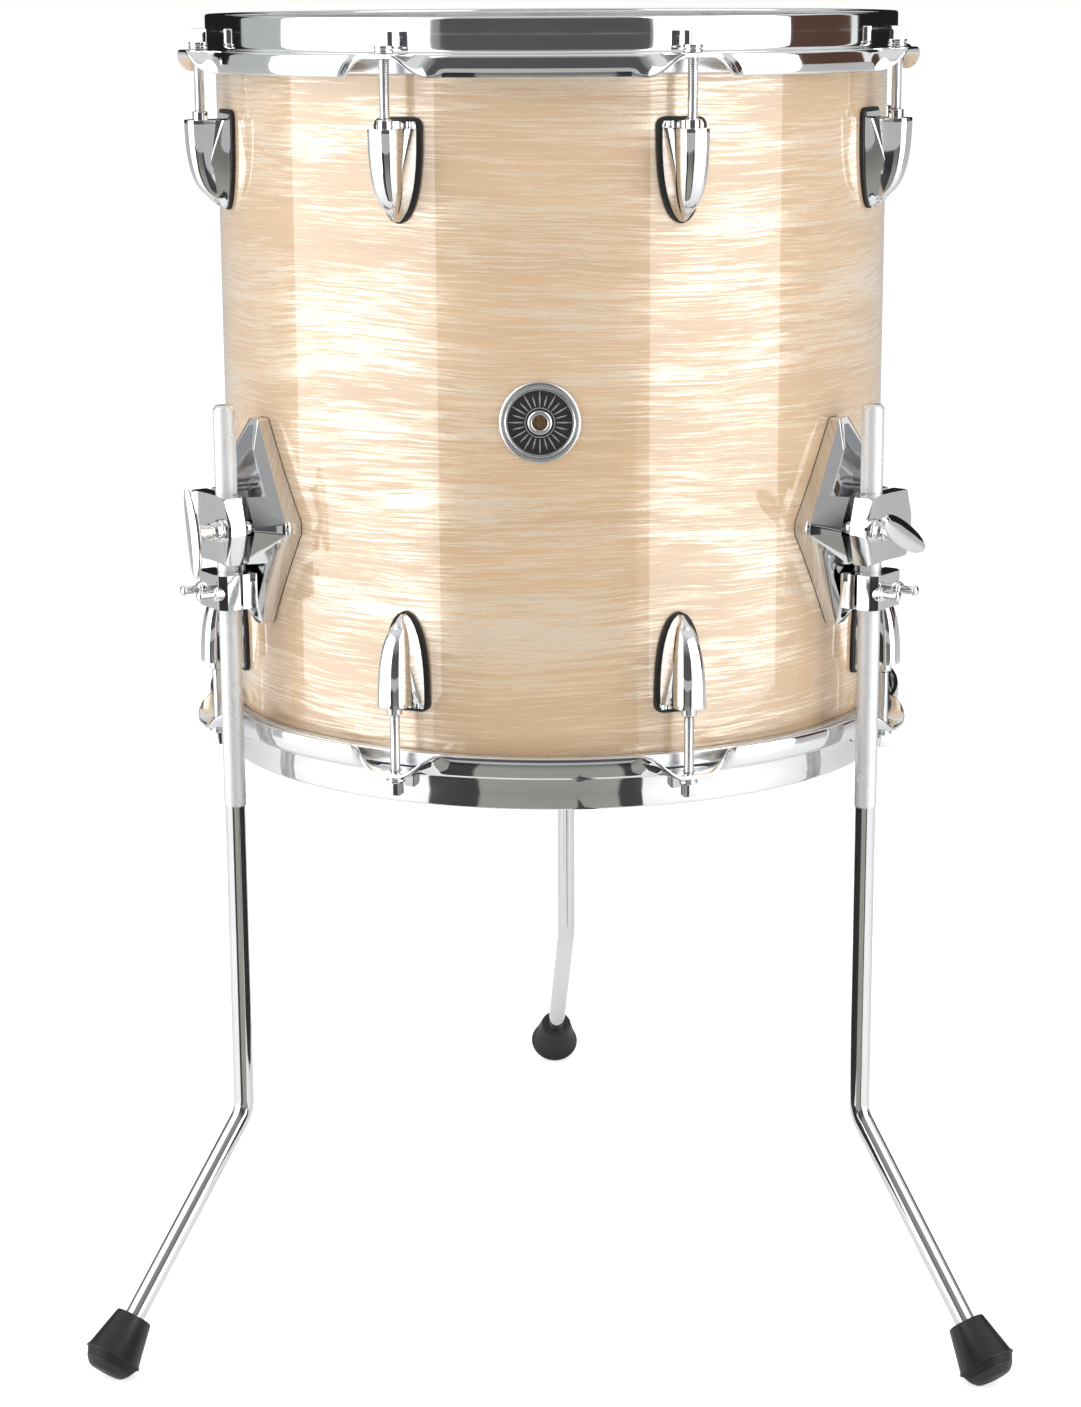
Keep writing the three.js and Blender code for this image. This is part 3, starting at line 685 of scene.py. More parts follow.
def enamel_finish():
    """Black glossy enamel with a trace of orange peel."""
    f = Finish("badge_enamel", Coat_Weight=0.6, Coat_Roughness=0.04)
    cloud = f.noise(140.0)
    f.paint(cloud, (0.004, 0.004, 0.004), (0.012, 0.012, 0.013))
    f.roughen(cloud, 0.22, 0.34)
    f.bump(cloud, 0.00005, 0.5)
    return f.material


FINISHES = {}


def finish_named(name):
    """Each finish is made once and shared by the pieces that have it."""
    looks = bpy.context.scene.floor_tom_looks
    makers = {
        "pearl": lambda: pearl_finish(looks),
        "chrome": lambda: chrome_finish(looks),
        "cast": lambda: chrome_finish(looks, "cast_chrome", ripple=0.00006),
        "satin": lambda: chrome_finish(looks, "satin_chrome", (0.2, 0.3)),
        "knurl": lambda: leg_finish(looks),
        "maple": lambda: maple_finish(looks),
        "aluminium": aluminium_finish,
        "coated_film": coated_film_finish,
        "clear_film": clear_film_finish,
        "gasket": lambda: rubber_finish("gasket_rubber", looks.gasket_colour),
        "foot": lambda: rubber_finish("foot_rubber", looks.rubber_colour, (0.32, 0.46)),
        "enamel": enamel_finish,
    }
    if name not in FINISHES:
        FINISHES[name] = makers[name]()
    return FINISHES[name]


# Sizes and colours that a user would change


def length_choice(name, description, default):
    return FloatProperty(name=name, description=description, default=default, unit="LENGTH")


def colour_choice(name, description, default):
    return FloatVectorProperty(
        name=name, description=description, subtype="COLOR", default=default, size=3, min=0, max=1
    )


class FloorTomSizes(bpy.types.PropertyGroup):
    knurl_pitch: length_choice(
        "Knurl Pitch", "Distance between the diamonds round and along the legs", 0.00105
    )
    knurl_depth: length_choice("Knurl Depth", "Height of the diamonds on the legs", 0.0003)
    thread_pitch: length_choice(
        "Thread Pitch", "Distance between the threads of the tension rods", 0.0254 / 24
    )
    thread_depth: length_choice("Thread Depth", "Depth of the threads of the tension rods", 0.0005)
    badge_radius: length_choice("Badge Radius", "Outer radius of the badge", 0.02)
    badge_rays: IntProperty(
        name="Badge Rays",
        description="Number of raised rays on the badge",
        default=24,
        min=3,
    )


class FloorTomLooks(bpy.types.PropertyGroup):
    pearl_ground: colour_choice("Pearl Ground", "Tan between the streaks of the wrap", (0.68, 0.475, 0.29))
    pearl_shade: colour_choice("Pearl Shade", "Darker clouds of the wrap's ground", (0.6, 0.415, 0.25))
    pearl_streak: colour_choice("Pearl Streak", "Cream streaks of the wrap", (0.98, 0.83, 0.65))
    streak_flatness: FloatProperty(
        name="Streak Flatness",
        description="How many times longer the streaks are than they are tall",
        default=38,
        min=1,
    )
    chrome_tint: colour_choice("Chrome Tint", "Colour of the plating", (0.86, 0.87, 0.88))
    maple_light: colour_choice("Maple Light", "Light grain of the shell's inside", (0.74, 0.54, 0.33))
    maple_dark: colour_choice("Maple Dark", "Dark grain of the shell's inside", (0.52, 0.33, 0.17))
    rubber_colour: colour_choice("Foot Rubber", "Colour of the feet", (0.007, 0.007, 0.008))
    gasket_colour: colour_choice(
        "Gasket Rubber", "Colour of the gaskets under the lugs", (0.01, 0.01, 0.011)
    )


# Pieces


def on_badge(bm):
    """Turns a shape that stands on Z to face out at the badge's middle."""
    return moved(bm, raised(BADGE_HEIGHT), OUTWARD)


def vent_drill():
    return on_badge(upright_bar(VENT_RADIUS, WRAP_RADIUS - 12, WRAP_RADIUS + 6))


class FLOORTOM_OT_shell(bpy.types.Operator):
    """Builds the wooden shell and the pearl wrap glued round it"""

    bl_idname = "floor_tom.shell"
    bl_label = "Shell and Wrap"

    def execute(self, context):
        wood = turned(
            [
                (SHELL_INNER, BASE + 4),
                (BEARING_EDGE, BASE),
                (SHELL_RADIUS, BASE + 2),
                (SHELL_RADIUS, TOP - 2),
                (BEARING_EDGE, TOP),
                (SHELL_INNER, TOP - 4),
            ],
            {1: 0.4, 4: 0.4},
            ROUND_STEPS,
            closed=True,
        )
        finish_piece("maple_shell", boolean(wood, vent_drill()), "maple", ["shell"])
        skin = upright_ring(SHELL_RADIUS + 0.1, WRAP_RADIUS, BASE + WRAP_STEP, TOP - WRAP_STEP)
        finish_piece("pearl_skin", boolean(skin, vent_drill()), "pearl", ["shell_wrap"])
        return {"FINISHED"}


def badge_rays(radius, low, high, count):
    """Long and short rays in turn, between two thin rings."""
    rays = bmesh.new()
    for k in range(count):
        start, end = 8.0, radius - (6.4 if k % 2 else 4.6)
        middle = (start + end) / 2
        outline = [(-0.2, start), (0.2, start), (0.42, middle), (0.12, end), (-0.12, end), (-0.42, middle)]
        turn = Matrix.Rotation(2 * math.pi * k / count, 4, "Y")
        joined(rays, moved(slab(outline, low, high), raised(BADGE_HEIGHT), turn))
    for ring in (7.2, radius - 3.9):
        joined(rays, on_badge(upright_ring(ring - 0.22, ring + 0.22, low, high, BADGE_STEPS)))
    return rays


class FLOORTOM_OT_badge(bpy.types.Operator):
    """Builds the badge, its raised rays and the eyelet through its middle"""

    bl_idname = "floor_tom.badge"
    bl_label = "Badge and Vent Eyelet"

    def execute(self, context):
        sizes = context.scene.floor_tom_sizes
        radius = sizes.badge_radius / MM
        back = WRAP_RADIUS + 0.3
        face = back + 1
        rim = turned(
            [
                (radius - 3.4, back),
                (radius, back),
                (radius, face),
                (radius - 1, face + 0.45),
                (radius - 2.4, face + 0.45),
                (radius - 3.4, face - 0.1),
            ],
            {2: 0.4, 3: 0.5, 4: 0.5},
            BADGE_STEPS,
            closed=True,
        )
        field = upright_ring(4.9, radius - 3.3, back, face - 0.25, BADGE_STEPS)
        rays = badge_rays(radius, face - 0.3, face + 0.02, sizes.badge_rays)
        finish_piece("badge_rim", roll_round_shell(on_badge(rim)), "satin", ["badge"])
        finish_piece("badge_field", roll_round_shell(on_badge(field)), "enamel", ["badge"])
        finish_piece("badge_rays", roll_round_shell(rays), "satin", ["badge"])
        front = face + 0.3
        inside = SHELL_INNER - 0.6
        eyelet = turned(
            [
                (3.8, inside - 0.9),
                (6.5, inside - 0.9),
                (6.5, inside),
                (4.5, inside),
                (4.5, front),
                (6.15, front),
                (5.6, front + 0.9),
                (3.8, front + 0.9),
            ],
            {1: 0.3, 2: 0.2, 5: 0.3, 6: 0.5, 7: 0.6},
            closed=True,
        )
        finish_piece("vent_eyelet", on_badge(eyelet), "satin", ["vent_grommet"])
        return {"FINISHED"}


class FLOORTOM_OT_heads(bpy.types.Operator):
    """Builds the two drum heads and the flesh hoops that grip them"""

    bl_idname = "floor_tom.heads"
    bl_label = "Heads and Flesh Hoops"

    def execute(self, context):
        film = turned(
            [
                (0, FILM_LIFT),
                (BEARING_EDGE, FILM_LIFT),
                (COLLAR_CIRCLE, COLLAR_TOP),
                (COLLAR_CIRCLE, COLLAR_END),
                (COLLAR_CIRCLE + FILM, COLLAR_END),
                (COLLAR_CIRCLE + FILM, COLLAR_TOP),
                (BEARING_EDGE + FILM, FILM_LIFT + FILM),
                (0, FILM_LIFT + FILM),
            ],
            {1: 0.8, 2: 0.6, 5: 0.6, 6: 0.9},
            ROUND_STEPS,
        )
        grip = COLLAR_CIRCLE + 0.6
        corners = {0: 0.6, 1: 1.2, 2: 0.8, 3: 0.8}
        low = FLESH_TOP - FLESH_HEIGHT
        ring = upright_ring(grip, grip + FLESH_WIDTH, low, FLESH_TOP, corners=corners)
        for side, finish in zip(SIDES, ("coated_film", "clear_film")):
            moves = side_moves(side)
            finish_piece(f"{side}_film", film.copy(), finish, [f"{side}_head"], moves)
            finish_piece(f"{side}_flesh_ring", ring.copy(), "aluminium", [f"{side}_flesh_hoop"], moves)
        film.free()
        ring.free()
        return {"FINISHED"}


def hoop_section(ear):
    """One section of a hoop from the shell's edge: the band, then the fold, then the
    skirt, which swings out and up to lie flat where ear is 1."""
    inner = HOOP_BAND - HOOP_SHEET
    under = LEDGE_TOP - HOOP_SHEET
    swing = math.pi / 2 * ear
    length = SKIRT_LENGTH + (EAR_LENGTH - SKIRT_LENGTH) * ear
    band = [
        (inner, under),
        (inner, HOOP_RISE - 2.6),
        (inner - 1.0, HOOP_RISE - 2.2),
        (inner - 1.9, HOOP_RISE - 1.4),
        (inner - 1.9, HOOP_RISE - 0.7),
        (inner - 1.3, HOOP_RISE - 0.15),
        (inner, HOOP_RISE),
        (HOOP_BAND - 1.1, HOOP_RISE),
        (HOOP_BAND - 0.45, HOOP_RISE - 0.25),
        (HOOP_BAND - 0.1, HOOP_RISE - 0.75),
        (HOOP_BAND, HOOP_RISE - 1.5),
        (HOOP_BAND, HOOP_RISE / 2),
        (HOOP_BAND, 1.6),
        (HOOP_BAND + 0.15, 0.6),
        (HOOP_BAND + 0.55, -0.3),
        (HOOP_BAND + 1.3, LEDGE_TOP + 0.1),
        (HOOP_BAND + 2.4, LEDGE_TOP),
    ]
    fold = []
    for k in range(6):
        turn = max(math.pi / 2 - swing, 0.1) * k / 5
        fold.append((FOLD_RADIUS + HOOP_SHEET * math.sin(turn), under + HOOP_SHEET * math.cos(turn)))

    def on_skirt(share, thick):
        bulge = 0.5 * math.sin(math.pi * share) * (1 - ear)
        out = thick + bulge
        r = FOLD_RADIUS + share * length * math.sin(swing) + out * math.cos(swing)
        z = under - share * length * math.cos(swing) + out * math.sin(swing)
        return r, z

    outer = [on_skirt(s, HOOP_SHEET) for s in (0.2, 0.4, 0.6, 0.8, 0.93)]
    lip = [on_skirt(0.985, 2.05), on_skirt(1, 1.5), on_skirt(1, 0.8), on_skirt(0.985, 0.25)]
    back = [on_skirt(s, 0) for s in (0.93, 0.7, 0.45, 0.2, 0)]
    return band + fold + outer + lip + back


def ear_weight(angle):
    """How far the skirt is turned out at an angle round the drum, from 0 to 1."""
    spacing = 2 * math.pi / POINTS
    off = abs((angle - math.radians(FIRST_POINT) + spacing / 2) % spacing - spacing / 2) * ROD_CIRCLE
    share = (off - EAR_FLAT / 2) / (EAR_ARCH / 2 - EAR_FLAT / 2)
    return (1 + math.cos(math.pi * min(max(share, 0), 1))) / 2


def hoop_shape():
    """A hoop whose section is set afresh at each angle, with a hole through each ear."""
    bm = wire(hoop_section(0), closed=True)
    station = bm.verts.layers.int.new("station")
    bm.verts.ensure_lookup_table()
    for i, vert in enumerate(bm.verts):
        vert[station] = i
    lathe(bm, HOOP_STEPS)
    station = bm.verts.layers.int["station"]
    sections = {}
    for vert in bm.verts:
        angle = math.atan2(vert.co.x, -vert.co.y)
        key = round(ear_weight(angle), 5)
        if key not in sections:
            sections[key] = hoop_section(key)
        r, z = sections[key][vert[station]]
        vert.co = (r * math.sin(angle), -r * math.cos(angle), z)
    drills = bmesh.new()
    for k in range(POINTS):
        drill = upright_bar(3.5, -9, 4, 24)
        joined(drills, moved(drill, turned_about(point_angle(k)), stood_out(ROD_CIRCLE)))
    return boolean(bm, drills)


class FLOORTOM_OT_hoops(bpy.types.Operator):
    """Builds the two pressed hoops, whose skirts turn out into an ear at each rod"""

    bl_idname = "floor_tom.hoops"
    bl_label = "Hoops"

    def execute(self, context):
        shape = hoop_shape()
        for side in SIDES:
            node = f"{side}_hoop"
            name = f"{side}_pressed_hoop"
            finish_piece(name, shape.copy(), "chrome", [node], side_moves(side), node, sharp=50)
        shape.free()
        return {"FINISHED"}


def lug_narrowing(share):
    return math.sqrt(max(1 - share**3, 0.0))


def lug_half_width(share, inset=0.0):
    """Half the width of a lug's outline, with its shoulders rounded."""
    short = max(1 - share * LUG_LENGTH / LUG_SHOULDER, 0)
    shoulder = LUG_SHOULDER * (1 - math.sqrt(1 - short * short))
    return max(LUG_HALF_WIDTH * lug_narrowing(share) - shoulder - inset, LUG_THINNEST)


def barrel_fullness(share, power=3.1):
    return math.sqrt(max(1 - (share / BARREL_END) ** power, 0.0004))


def lug_flank_section(share, raised_share):
    """One level section of a lug's flanks, across its front from side to side."""
    base = lug_half_width(share, LUG_INSET)
    keel = LUG_PLATE + max(LUG_REACH * lug_narrowing(share) * 0.86 - LUG_PLATE, 0.1) * raised_share
    side = GASKET + (keel - GASKET) * 0.74
    wide = max(BARREL_HALF_WIDTH * 0.9 * barrel_fullness(share), base * 0.4)
    wide = min(wide, base * 0.8)
    crease = min(share / 0.66, 1)
    crease_wide = base + (wide - base) * crease
    crease_out = LUG_PLATE + (side - LUG_PLATE) * crease
    half = [(base, GASKET), (base, GASKET + 0.5), (base - 0.15, LUG_PLATE)]
    for s in (0.3, 0.6, 0.85):
        x = crease_wide + (base - 0.15 - crease_wide) * (1 - s) ** 1.35
        half.append((x, LUG_PLATE + (crease_out - LUG_PLATE) * s**1.15))
    half.append((crease_wide, crease_out))
    for s in (0.25, 0.5, 0.75, 1):
        x = crease_wide + (wide - crease_wide) * math.sin(math.pi / 2 * s)
        y = crease_out + (side - crease_out) * (1 - math.cos(math.pi / 2 * s))
        half.append((x, y))
    for k in range(1, 6):
        a = math.pi / 2 * k / 5
        half.append((wide * math.cos(a) ** 0.8, side + (keel - side) * math.sin(a)))
    return [(x, -(WRAP_RADIUS + 0.05 + y), -LUG_DROP - share * LUG_LENGTH) for x, y in mirrored(half, 1)]


def lug_flanks_shape():
    """The casting's lower sides: a flat plate above the shelf, then the raised flanks."""
    shelf = SHELF / LUG_LENGTH
    inset = LUG_INSET / LUG_LENGTH
    levels = [(inset + (shelf - inset) * k / 6, 0.0) for k in range(7)]
    start = shelf + 0.004
    end = 1 - 1.1 / LUG_LENGTH
    levels += [(start + (end - start) * (1 - (1 - k / 28) ** 1.4), 1.0) for k in range(29)]
    return follow_shell(loft([lug_flank_section(*level) for level in levels]))


def lug_barrel_shape():
    """The round-fronted barrel that takes the swivel nut, flat above and round below."""
    top = SHELF / LUG_LENGTH
    rings = []
    count = 34
    for k in range(count + 1):
        share = top + (BARREL_END - top) * (1 - (1 - k / count) ** 1.8)
        wide = BARREL_HALF_WIDTH * barrel_fullness(share)
        front = BARREL_BACK + (LUG_REACH * lug_narrowing(share) - BARREL_BACK) * barrel_fullness(share, 13)
        side = BARREL_BACK + (front - BARREL_BACK) * 0.62
        half = [(wide, BARREL_BACK), (wide, BARREL_BACK + (side - BARREL_BACK) / 2), (wide, side)]
        for j in range(1, 10):
            a = math.pi / 2 * j / 9
            half.append((wide * math.cos(a) ** 0.72, side + (front - side) * math.sin(a) ** 0.92))
        rings.append([(x, -(WRAP_RADIUS + y), -LUG_DROP - share * LUG_LENGTH) for x, y in mirrored(half, 1)])
    rim = -LUG_DROP - SHELF - 0.01
    return bevelled(loft(rings), 0.45, 2, lambda e: min(v.co.z for v in e.verts) > rim)


def gasket_shape():
    count = 40
    shares = [(k / count) ** 1.3 for k in range(count)] + [1 - 0.002]
    half = [(lug_half_width(share), -LUG_DROP - LUG_LENGTH * share) for share in shares]
    return follow_shell(slab(mirrored(half), WRAP_RADIUS + 0.05, WRAP_RADIUS + GASKET + 0.05))


class FLOORTOM_OT_lugs(bpy.types.Operator):
    """Builds the sixteen lugs, each a casting on a gasket with a swivel nut's neck"""

    bl_idname = "floor_tom.lugs"
    bl_label = "Lugs"

    def execute(self, context):
        top = -LUG_DROP - SHELF
        neck = upright_ring(2.9, 3.9, top - 3, top + 4.2, 32, {2: 0.6, 3: 0.3})
        parts = (
            ("casting", joined(lug_flanks_shape(), lug_barrel_shape()), "cast", 28),
            ("gasket", gasket_shape(), "gasket", 35),
            ("swivel_nut", moved(neck, stood_out(ROD_CIRCLE)), "chrome", 35),
        )
        for side, k, moves in every_point():
            node = f"{side}_lug_{k + 1}"
            for part, shape, finish, sharp in parts:
                finish_piece(f"{node}_{part}", shape.copy(), finish, [node], moves, sharp=sharp)
        for part in parts:
            part[1].free()
        return {"FINISHED"}


def threaded(radius, depth, pitch, low, high, around=20, per_pitch=6):
    """A round bar with a thread cut between two heights."""
    rows = int((high - low) / (pitch / per_pitch))
    levels = [low + (high - low) * k / rows for k in range(rows + 1)]
    bm = turned([(0, low), *[(radius, z) for z in levels], (0, high)], steps=around)
    for vert in bm.verts:
        if math.hypot(vert.co.x, vert.co.y) < radius / 2:
            continue
        phase = (vert.co.z / pitch - math.atan2(vert.co.y, vert.co.x) / (2 * math.pi)) % 1
        run_out = min(1, (vert.co.z - low) / pitch, (high - vert.co.z) / pitch)
        drawn_in(vert, depth * (1 - abs(2 * phase - 1)) * run_out)
    return bm


def rod_shape(sizes):
    """A tension rod drawn from the top of the shell: its thread, washer, flange and key head."""
    seat = -0.6
    end = -LUG_DROP - SHELF - 17
    shank = threaded(ROD_RADIUS, sizes.thread_depth / MM, sizes.thread_pitch / MM, end, seat + 0.5)
    for low, high, radius in ((seat, seat + 1.5, 4.8), (seat + 1.75, seat + 3.6, 4.75)):
        joined(shank, turned(section(0, radius, low, high), {1: 0.35, 2: 0.5}, 40))
    joined(shank, upright_bar(3.9, seat + 1.2, seat + 2, 40))
    half = KEY_SIDE / 2
    low, high = seat + 3.4, seat + 2.2 + 7.9
    square = [(-half, -half), (half, -half), (half, half), (-half, half)]
    key = loft([[(x, y, z) for x, y in square] for z in (low, high)])
    bevelled(key, 0.35, 2, lambda e: abs(e.verts[0].co.z - e.verts[1].co.z) > 1)
    bevelled(key, 1.0, 3, lambda e: min(v.co.z for v in e.verts) > high - 0.1)
    return joined(shank, key)


class FLOORTOM_OT_rods(bpy.types.Operator):
    """Builds the sixteen threaded tension rods with their washers and square heads"""

    bl_idname = "floor_tom.rods"
    bl_label = "Tension Rods"

    def execute(self, context):
        shape = rod_shape(context.scene.floor_tom_sizes)
        for side, k, moves in every_point():
            node = f"{side}_rod_{k + 1}"
            moves += [stood_out(ROD_CIRCLE), turned_about(HEAD_TURNS[k])]
            finish_piece(f"{node}_threaded", shape.copy(), "chrome", [node], moves, node, sharp=30)
        shape.free()
        return {"FINISHED"}


def bracket_outline(outset=0.0):
    """The bracket's long outline, its side corners cut off by short upright flats."""
    half = BRACKET_HALF_LENGTH + outset
    wide = BRACKET_HALF_WIDTH + outset
    tip = 4.4 + outset
    return rounded(mirrored([(tip, -half), (wide, -2.9), (wide, 2.9), (tip, half)]), 2.2)


def clamp_outline(apex_half_width, strip=CLAMP_STRIP, inset=0):
    """The clamp seen from the front: its points at the bolt are cut off by flat strips."""
    narrow = CLAMP_HALF - inset
    wide = apex_half_width - inset
    low = -CLAMP_BELOW + inset
    high = CLAMP_ABOVE - inset
    return mirrored([(narrow, low), (wide, -strip), (wide, strip), (narrow, high)])


def pocket_outline(up):
    """The three-sided pocket of one arm, which ends short of the arm's tip."""
    foot = CLAMP_ABOVE if up > 0 else CLAMP_BELOW
    corners = [(-20.4, foot), (20.4, foot), (2.0, 50.6), (-2.0, 50.6)]
    return [(x, up * z) for x, z in rounded(corners, 2.4)]


def leg_drill():
    return moved(upright_bar(KNURL_RADIUS + 0.35, -60, 60), stood_out(LEG_CIRCLE))


def bolt_drill(bolt):
    drill = upright_bar(BOLT_RADIUS + 0.4, SPLIT_INNER - 22, CAP_FRONT + 4)
    return moved(drill, stood_out(0, bolt * BOLT_OFFSET), OUTWARD)


def shell_drill(gap):
    return upright_bar(WRAP_RADIUS + gap, -PAST_BRACKET, PAST_BRACKET, ROUND_STEPS)


def bracket_shape(bolt):
    """A bracket: a plate with two pocketed arms and the clamp's seat between them."""
    plate_out = WRAP_RADIUS + BRACKET_PLATE
    crown = plate_out + BRACKET_CROWN
    outline = bracket_outline()
    body = hull(
        [(outline, BRACKET_SUNK), (outline, plate_out), (clamp_outline(SEAT_APEX), SPLIT_INNER)]
    )
    for low, high in ((CLAMP_ABOVE, 60), (-60, -CLAMP_BELOW)):
        body = boolean(body, block((-40, -SPLIT_INNER - 10, low), (40, -crown, high)))
    for up in (1, -1):
        body = boolean(body, slab(pocket_outline(up), crown - POCKET_DEPTH, crown + 2))
    for drill in (leg_drill(), bolt_drill(bolt), shell_drill(0.05)):
        body = boolean(body, drill)
    for side in (-1, 1):
        knob = bmesh.new()
        bmesh.ops.create_uvsphere(knob, u_segments=24, v_segments=16, radius=1)
        size = Matrix.Diagonal((1.9, 2.7, 4.4, 1))
        joined(body, moved(knob, stood_out(plate_out - 2.3, side * 30.4), size))
    return body


def bracket_gasket_shape():
    """The thin pad between a bracket's foot and the wrap."""
    body = slab(bracket_outline(0.08), BRACKET_SUNK, WRAP_RADIUS + 3)
    body = boolean(body, shell_drill(0.03))
    beyond = upright_ring(WRAP_RADIUS + 0.35, WRAP_RADIUS + 12, -PAST_BRACKET, PAST_BRACKET)
    return boolean(body, beyond)


def cap_shape(bolt):
    """The clamp's loose front half, with a shallow dish across its face."""
    body = facing(
        [
            (clamp_outline(CAP_APEX), SPLIT_OUTER),
            (clamp_outline(CAP_APEX, 2.4), CAP_FRONT - CAP_CHAMFER),
            (clamp_outline(CAP_APEX, 2.9, CAP_CHAMFER), CAP_FRONT),
        ]
    )
    dish = moved(upright_bar(DISH_RADIUS, -40, 40, 160), stood_out(CAP_FRONT + DISH_RADIUS - DISH_DEPTH))
    for drill in (dish, leg_drill(), bolt_drill(bolt)):
        body = boolean(body, drill)
    return body


def wing_bolt_shape(wing_turn):
    """A wing bolt that faces out, with its wing turned by an angle in degrees."""
    seat = CAP_FRONT + 0.3
    boss = seat + 5
    bolt = turned(
        [
            (0, SPLIT_INNER - 20),
            (BOLT_RADIUS, SPLIT_INNER - 20),
            (BOLT_RADIUS, seat - 1.4),
            (5.9, seat - 1.4),
            (5.9, seat + 1.2),
            (5.2, seat + 1.6),
            (5.2, boss - 1),
            (4.5, boss),
            (4.5, boss + 1.2),
            (3.7, boss + 1.6),
            (3.7, boss + 4.6),
            (4.4, boss + 5),
            (4.4, boss + 8.4),
            (3.4, boss + 9.6),
            (0, boss + 9.6),
        ],
        {1: 0.5, 3: 0.5, 4: 0.5, 6: 0.5, 8: 0.3, 11: 0.3, 12: 0.5},
        40,
    )
    centre = boss + 9 + 1.35
    rings = []
    stations = 24
    for k in range(stations + 1):
        share = -math.cos(math.pi * k / stations)
        full = math.sqrt(max(1 - share * share, 0.012))
        wide = 6.5 * full**0.9
        thick = 2.7 * full**0.55
        ring = []
        for j in range(24):
            a = 2 * math.pi * j / 24
            ridge = 1 - 0.18 * abs(math.cos(a))
            y = thick * math.sin(a) * ridge
            ring.append((wide * math.cos(a), -centre - y - 1.2 * share * share, 23 * share))
        rings.append(ring)
    wing = moved(loft(rings), Matrix.Rotation(math.radians(wing_turn), 4, "Y"))
    return joined(moved(bolt, OUTWARD), wing)


def lock_shape():
    """A height lock drawn from the bracket's mid-height: a block split on the leg's axis."""
    low = LOCK_TOP - LOCK_HEIGHT

    def upright(outline, bottom, top):
        return loft([[(x, -LEG_CIRCLE - out, height) for x, out in outline] for height in (bottom, top)])

    front = [(LOCK_HALF, 8), (10.5, 11.5), (-10.5, 11.5), (-LOCK_HALF, 8)]
    outline = [(-LOCK_HALF, -9), (LOCK_HALF, -9), *front]
    tongue = [(-7, -9), (7, -9), (7, -4.4), (-7, -4.4)]
    body = upright(outline, low, LOCK_TOP)
    body = boolean(body, upright(tongue, low + 1, -CLAMP_BELOW - 0.3), "UNION")
    for side in (-LOCK_HALF, LOCK_HALF):
        slit = cuboid((side, -LEG_CIRCLE, (LOCK_TOP + low) / 2), (11, 1.6, 40))
        notch = cuboid((side, -LEG_CIRCLE + 6.6, LOCK_TOP), (7, 3.4, 8))
        body = boolean(boolean(body, slit), notch)
    return boolean(body, leg_drill())


def key_screws_shape():
    both = bmesh.new()
    for side in (-1, 1):
        screw = turned(
            [
                (0, 8),
                (3.9, 8),
                (3.9, 12.6),
                (3.3, 12.6),
                (3.3, 13.6),
                (2.1, 13.9),
                (2.1, 20.4),
                (2.7, 20.7),
                (2.7, 22.6),
                (0, 23.5),
            ],
            {2: 0.4, 3: 0.2, 4: 0.3, 7: 0.3, 8: 0.9},
            32,
        )
        where = Matrix.Translation((side * KEY_SCREW_ACROSS, -LEG_CIRCLE, LOCK_TOP - 9.5))
        joined(both, moved(screw, where, OUTWARD))
    return both


def inside_screws():
    """The screws and washers that hold the lugs and brackets, seen inside the shell."""
    screw = turned(
        [
            (0, SHELL_INNER + 2),
            (6.5, SHELL_INNER + 2),
            (6.5, SHELL_INNER - 1.2),
            (4.4, SHELL_INNER - 1.5),
            (4.2, SHELL_INNER - 2.6),
            (2.6, SHELL_INNER - 4),
            (0, SHELL_INNER - 4.4),
        ],
        {2: 0.4, 4: 0.6, 5: 0.8},
        24,
    )
    moved(screw, OUTWARD)
    places = []
    for k in range(POINTS):
        for z in (14, 36):
            places.append((point_angle(k), TOP - LUG_DROP - z, 0))
            places.append((point_angle(k), BASE + LUG_DROP + z, 0))
    for leg in LEGS:
        for z in (-30, 30):
            places.append((leg["angle"], BRACKET_HEIGHT + z, 0))
        for x in (-12, 12):
            places.append((leg["angle"], BRACKET_HEIGHT, x))
    screws = bmesh.new()
    for angle, z, x in places:
        turn = turned_about(angle + math.degrees(x / SHELL_INNER))
        joined(screws, moved(screw.copy(), turn, raised(z)))
    screw.free()
    return screws


class FLOORTOM_OT_screws(bpy.types.Operator):
    """Builds the screws inside the shell that hold the lugs and the brackets"""

    bl_idname = "floor_tom.screws"
    bl_label = "Inside Screws"

    def execute(self, context):
        finish_piece("inside_screws", inside_screws(), "chrome")
        return {"FINISHED"}


class FLOORTOM_OT_brackets(bpy.types.Operator):
    """Builds the three leg brackets with their clamp caps and wing bolts"""

    bl_idname = "floor_tom.brackets"
    bl_label = "Leg Brackets"

    def execute(self, context):
        for leg in LEGS:
            side, bolt = leg["side"], leg["bolt"]
            moves = bracket_moves(leg)
            node = [f"{side}_leg_bracket"]
            cap = [f"{side}_bracket_cap"]
            casting = bracket_shape(bolt)
            finish_piece(f"{side}_bracket_casting", casting, "cast", node, moves, sharp=14, ease=0.4)
            finish_piece(f"{side}_bracket_pad", bracket_gasket_shape(), "gasket", node, moves)
            finish_piece(f"{side}_cap_casting", cap_shape(bolt), "cast", cap, moves, f"{side}_cap", 14, 0.4)
            moves.append(stood_out(0, bolt * BOLT_OFFSET))
            wing = wing_bolt_shape(leg["wing"])
            node = [f"{side}_wing_bolt"]
            finish_piece(f"{side}_wing_and_bolt", wing, "cast", node, moves, f"{side}_wing", 40)
        return {"FINISHED"}


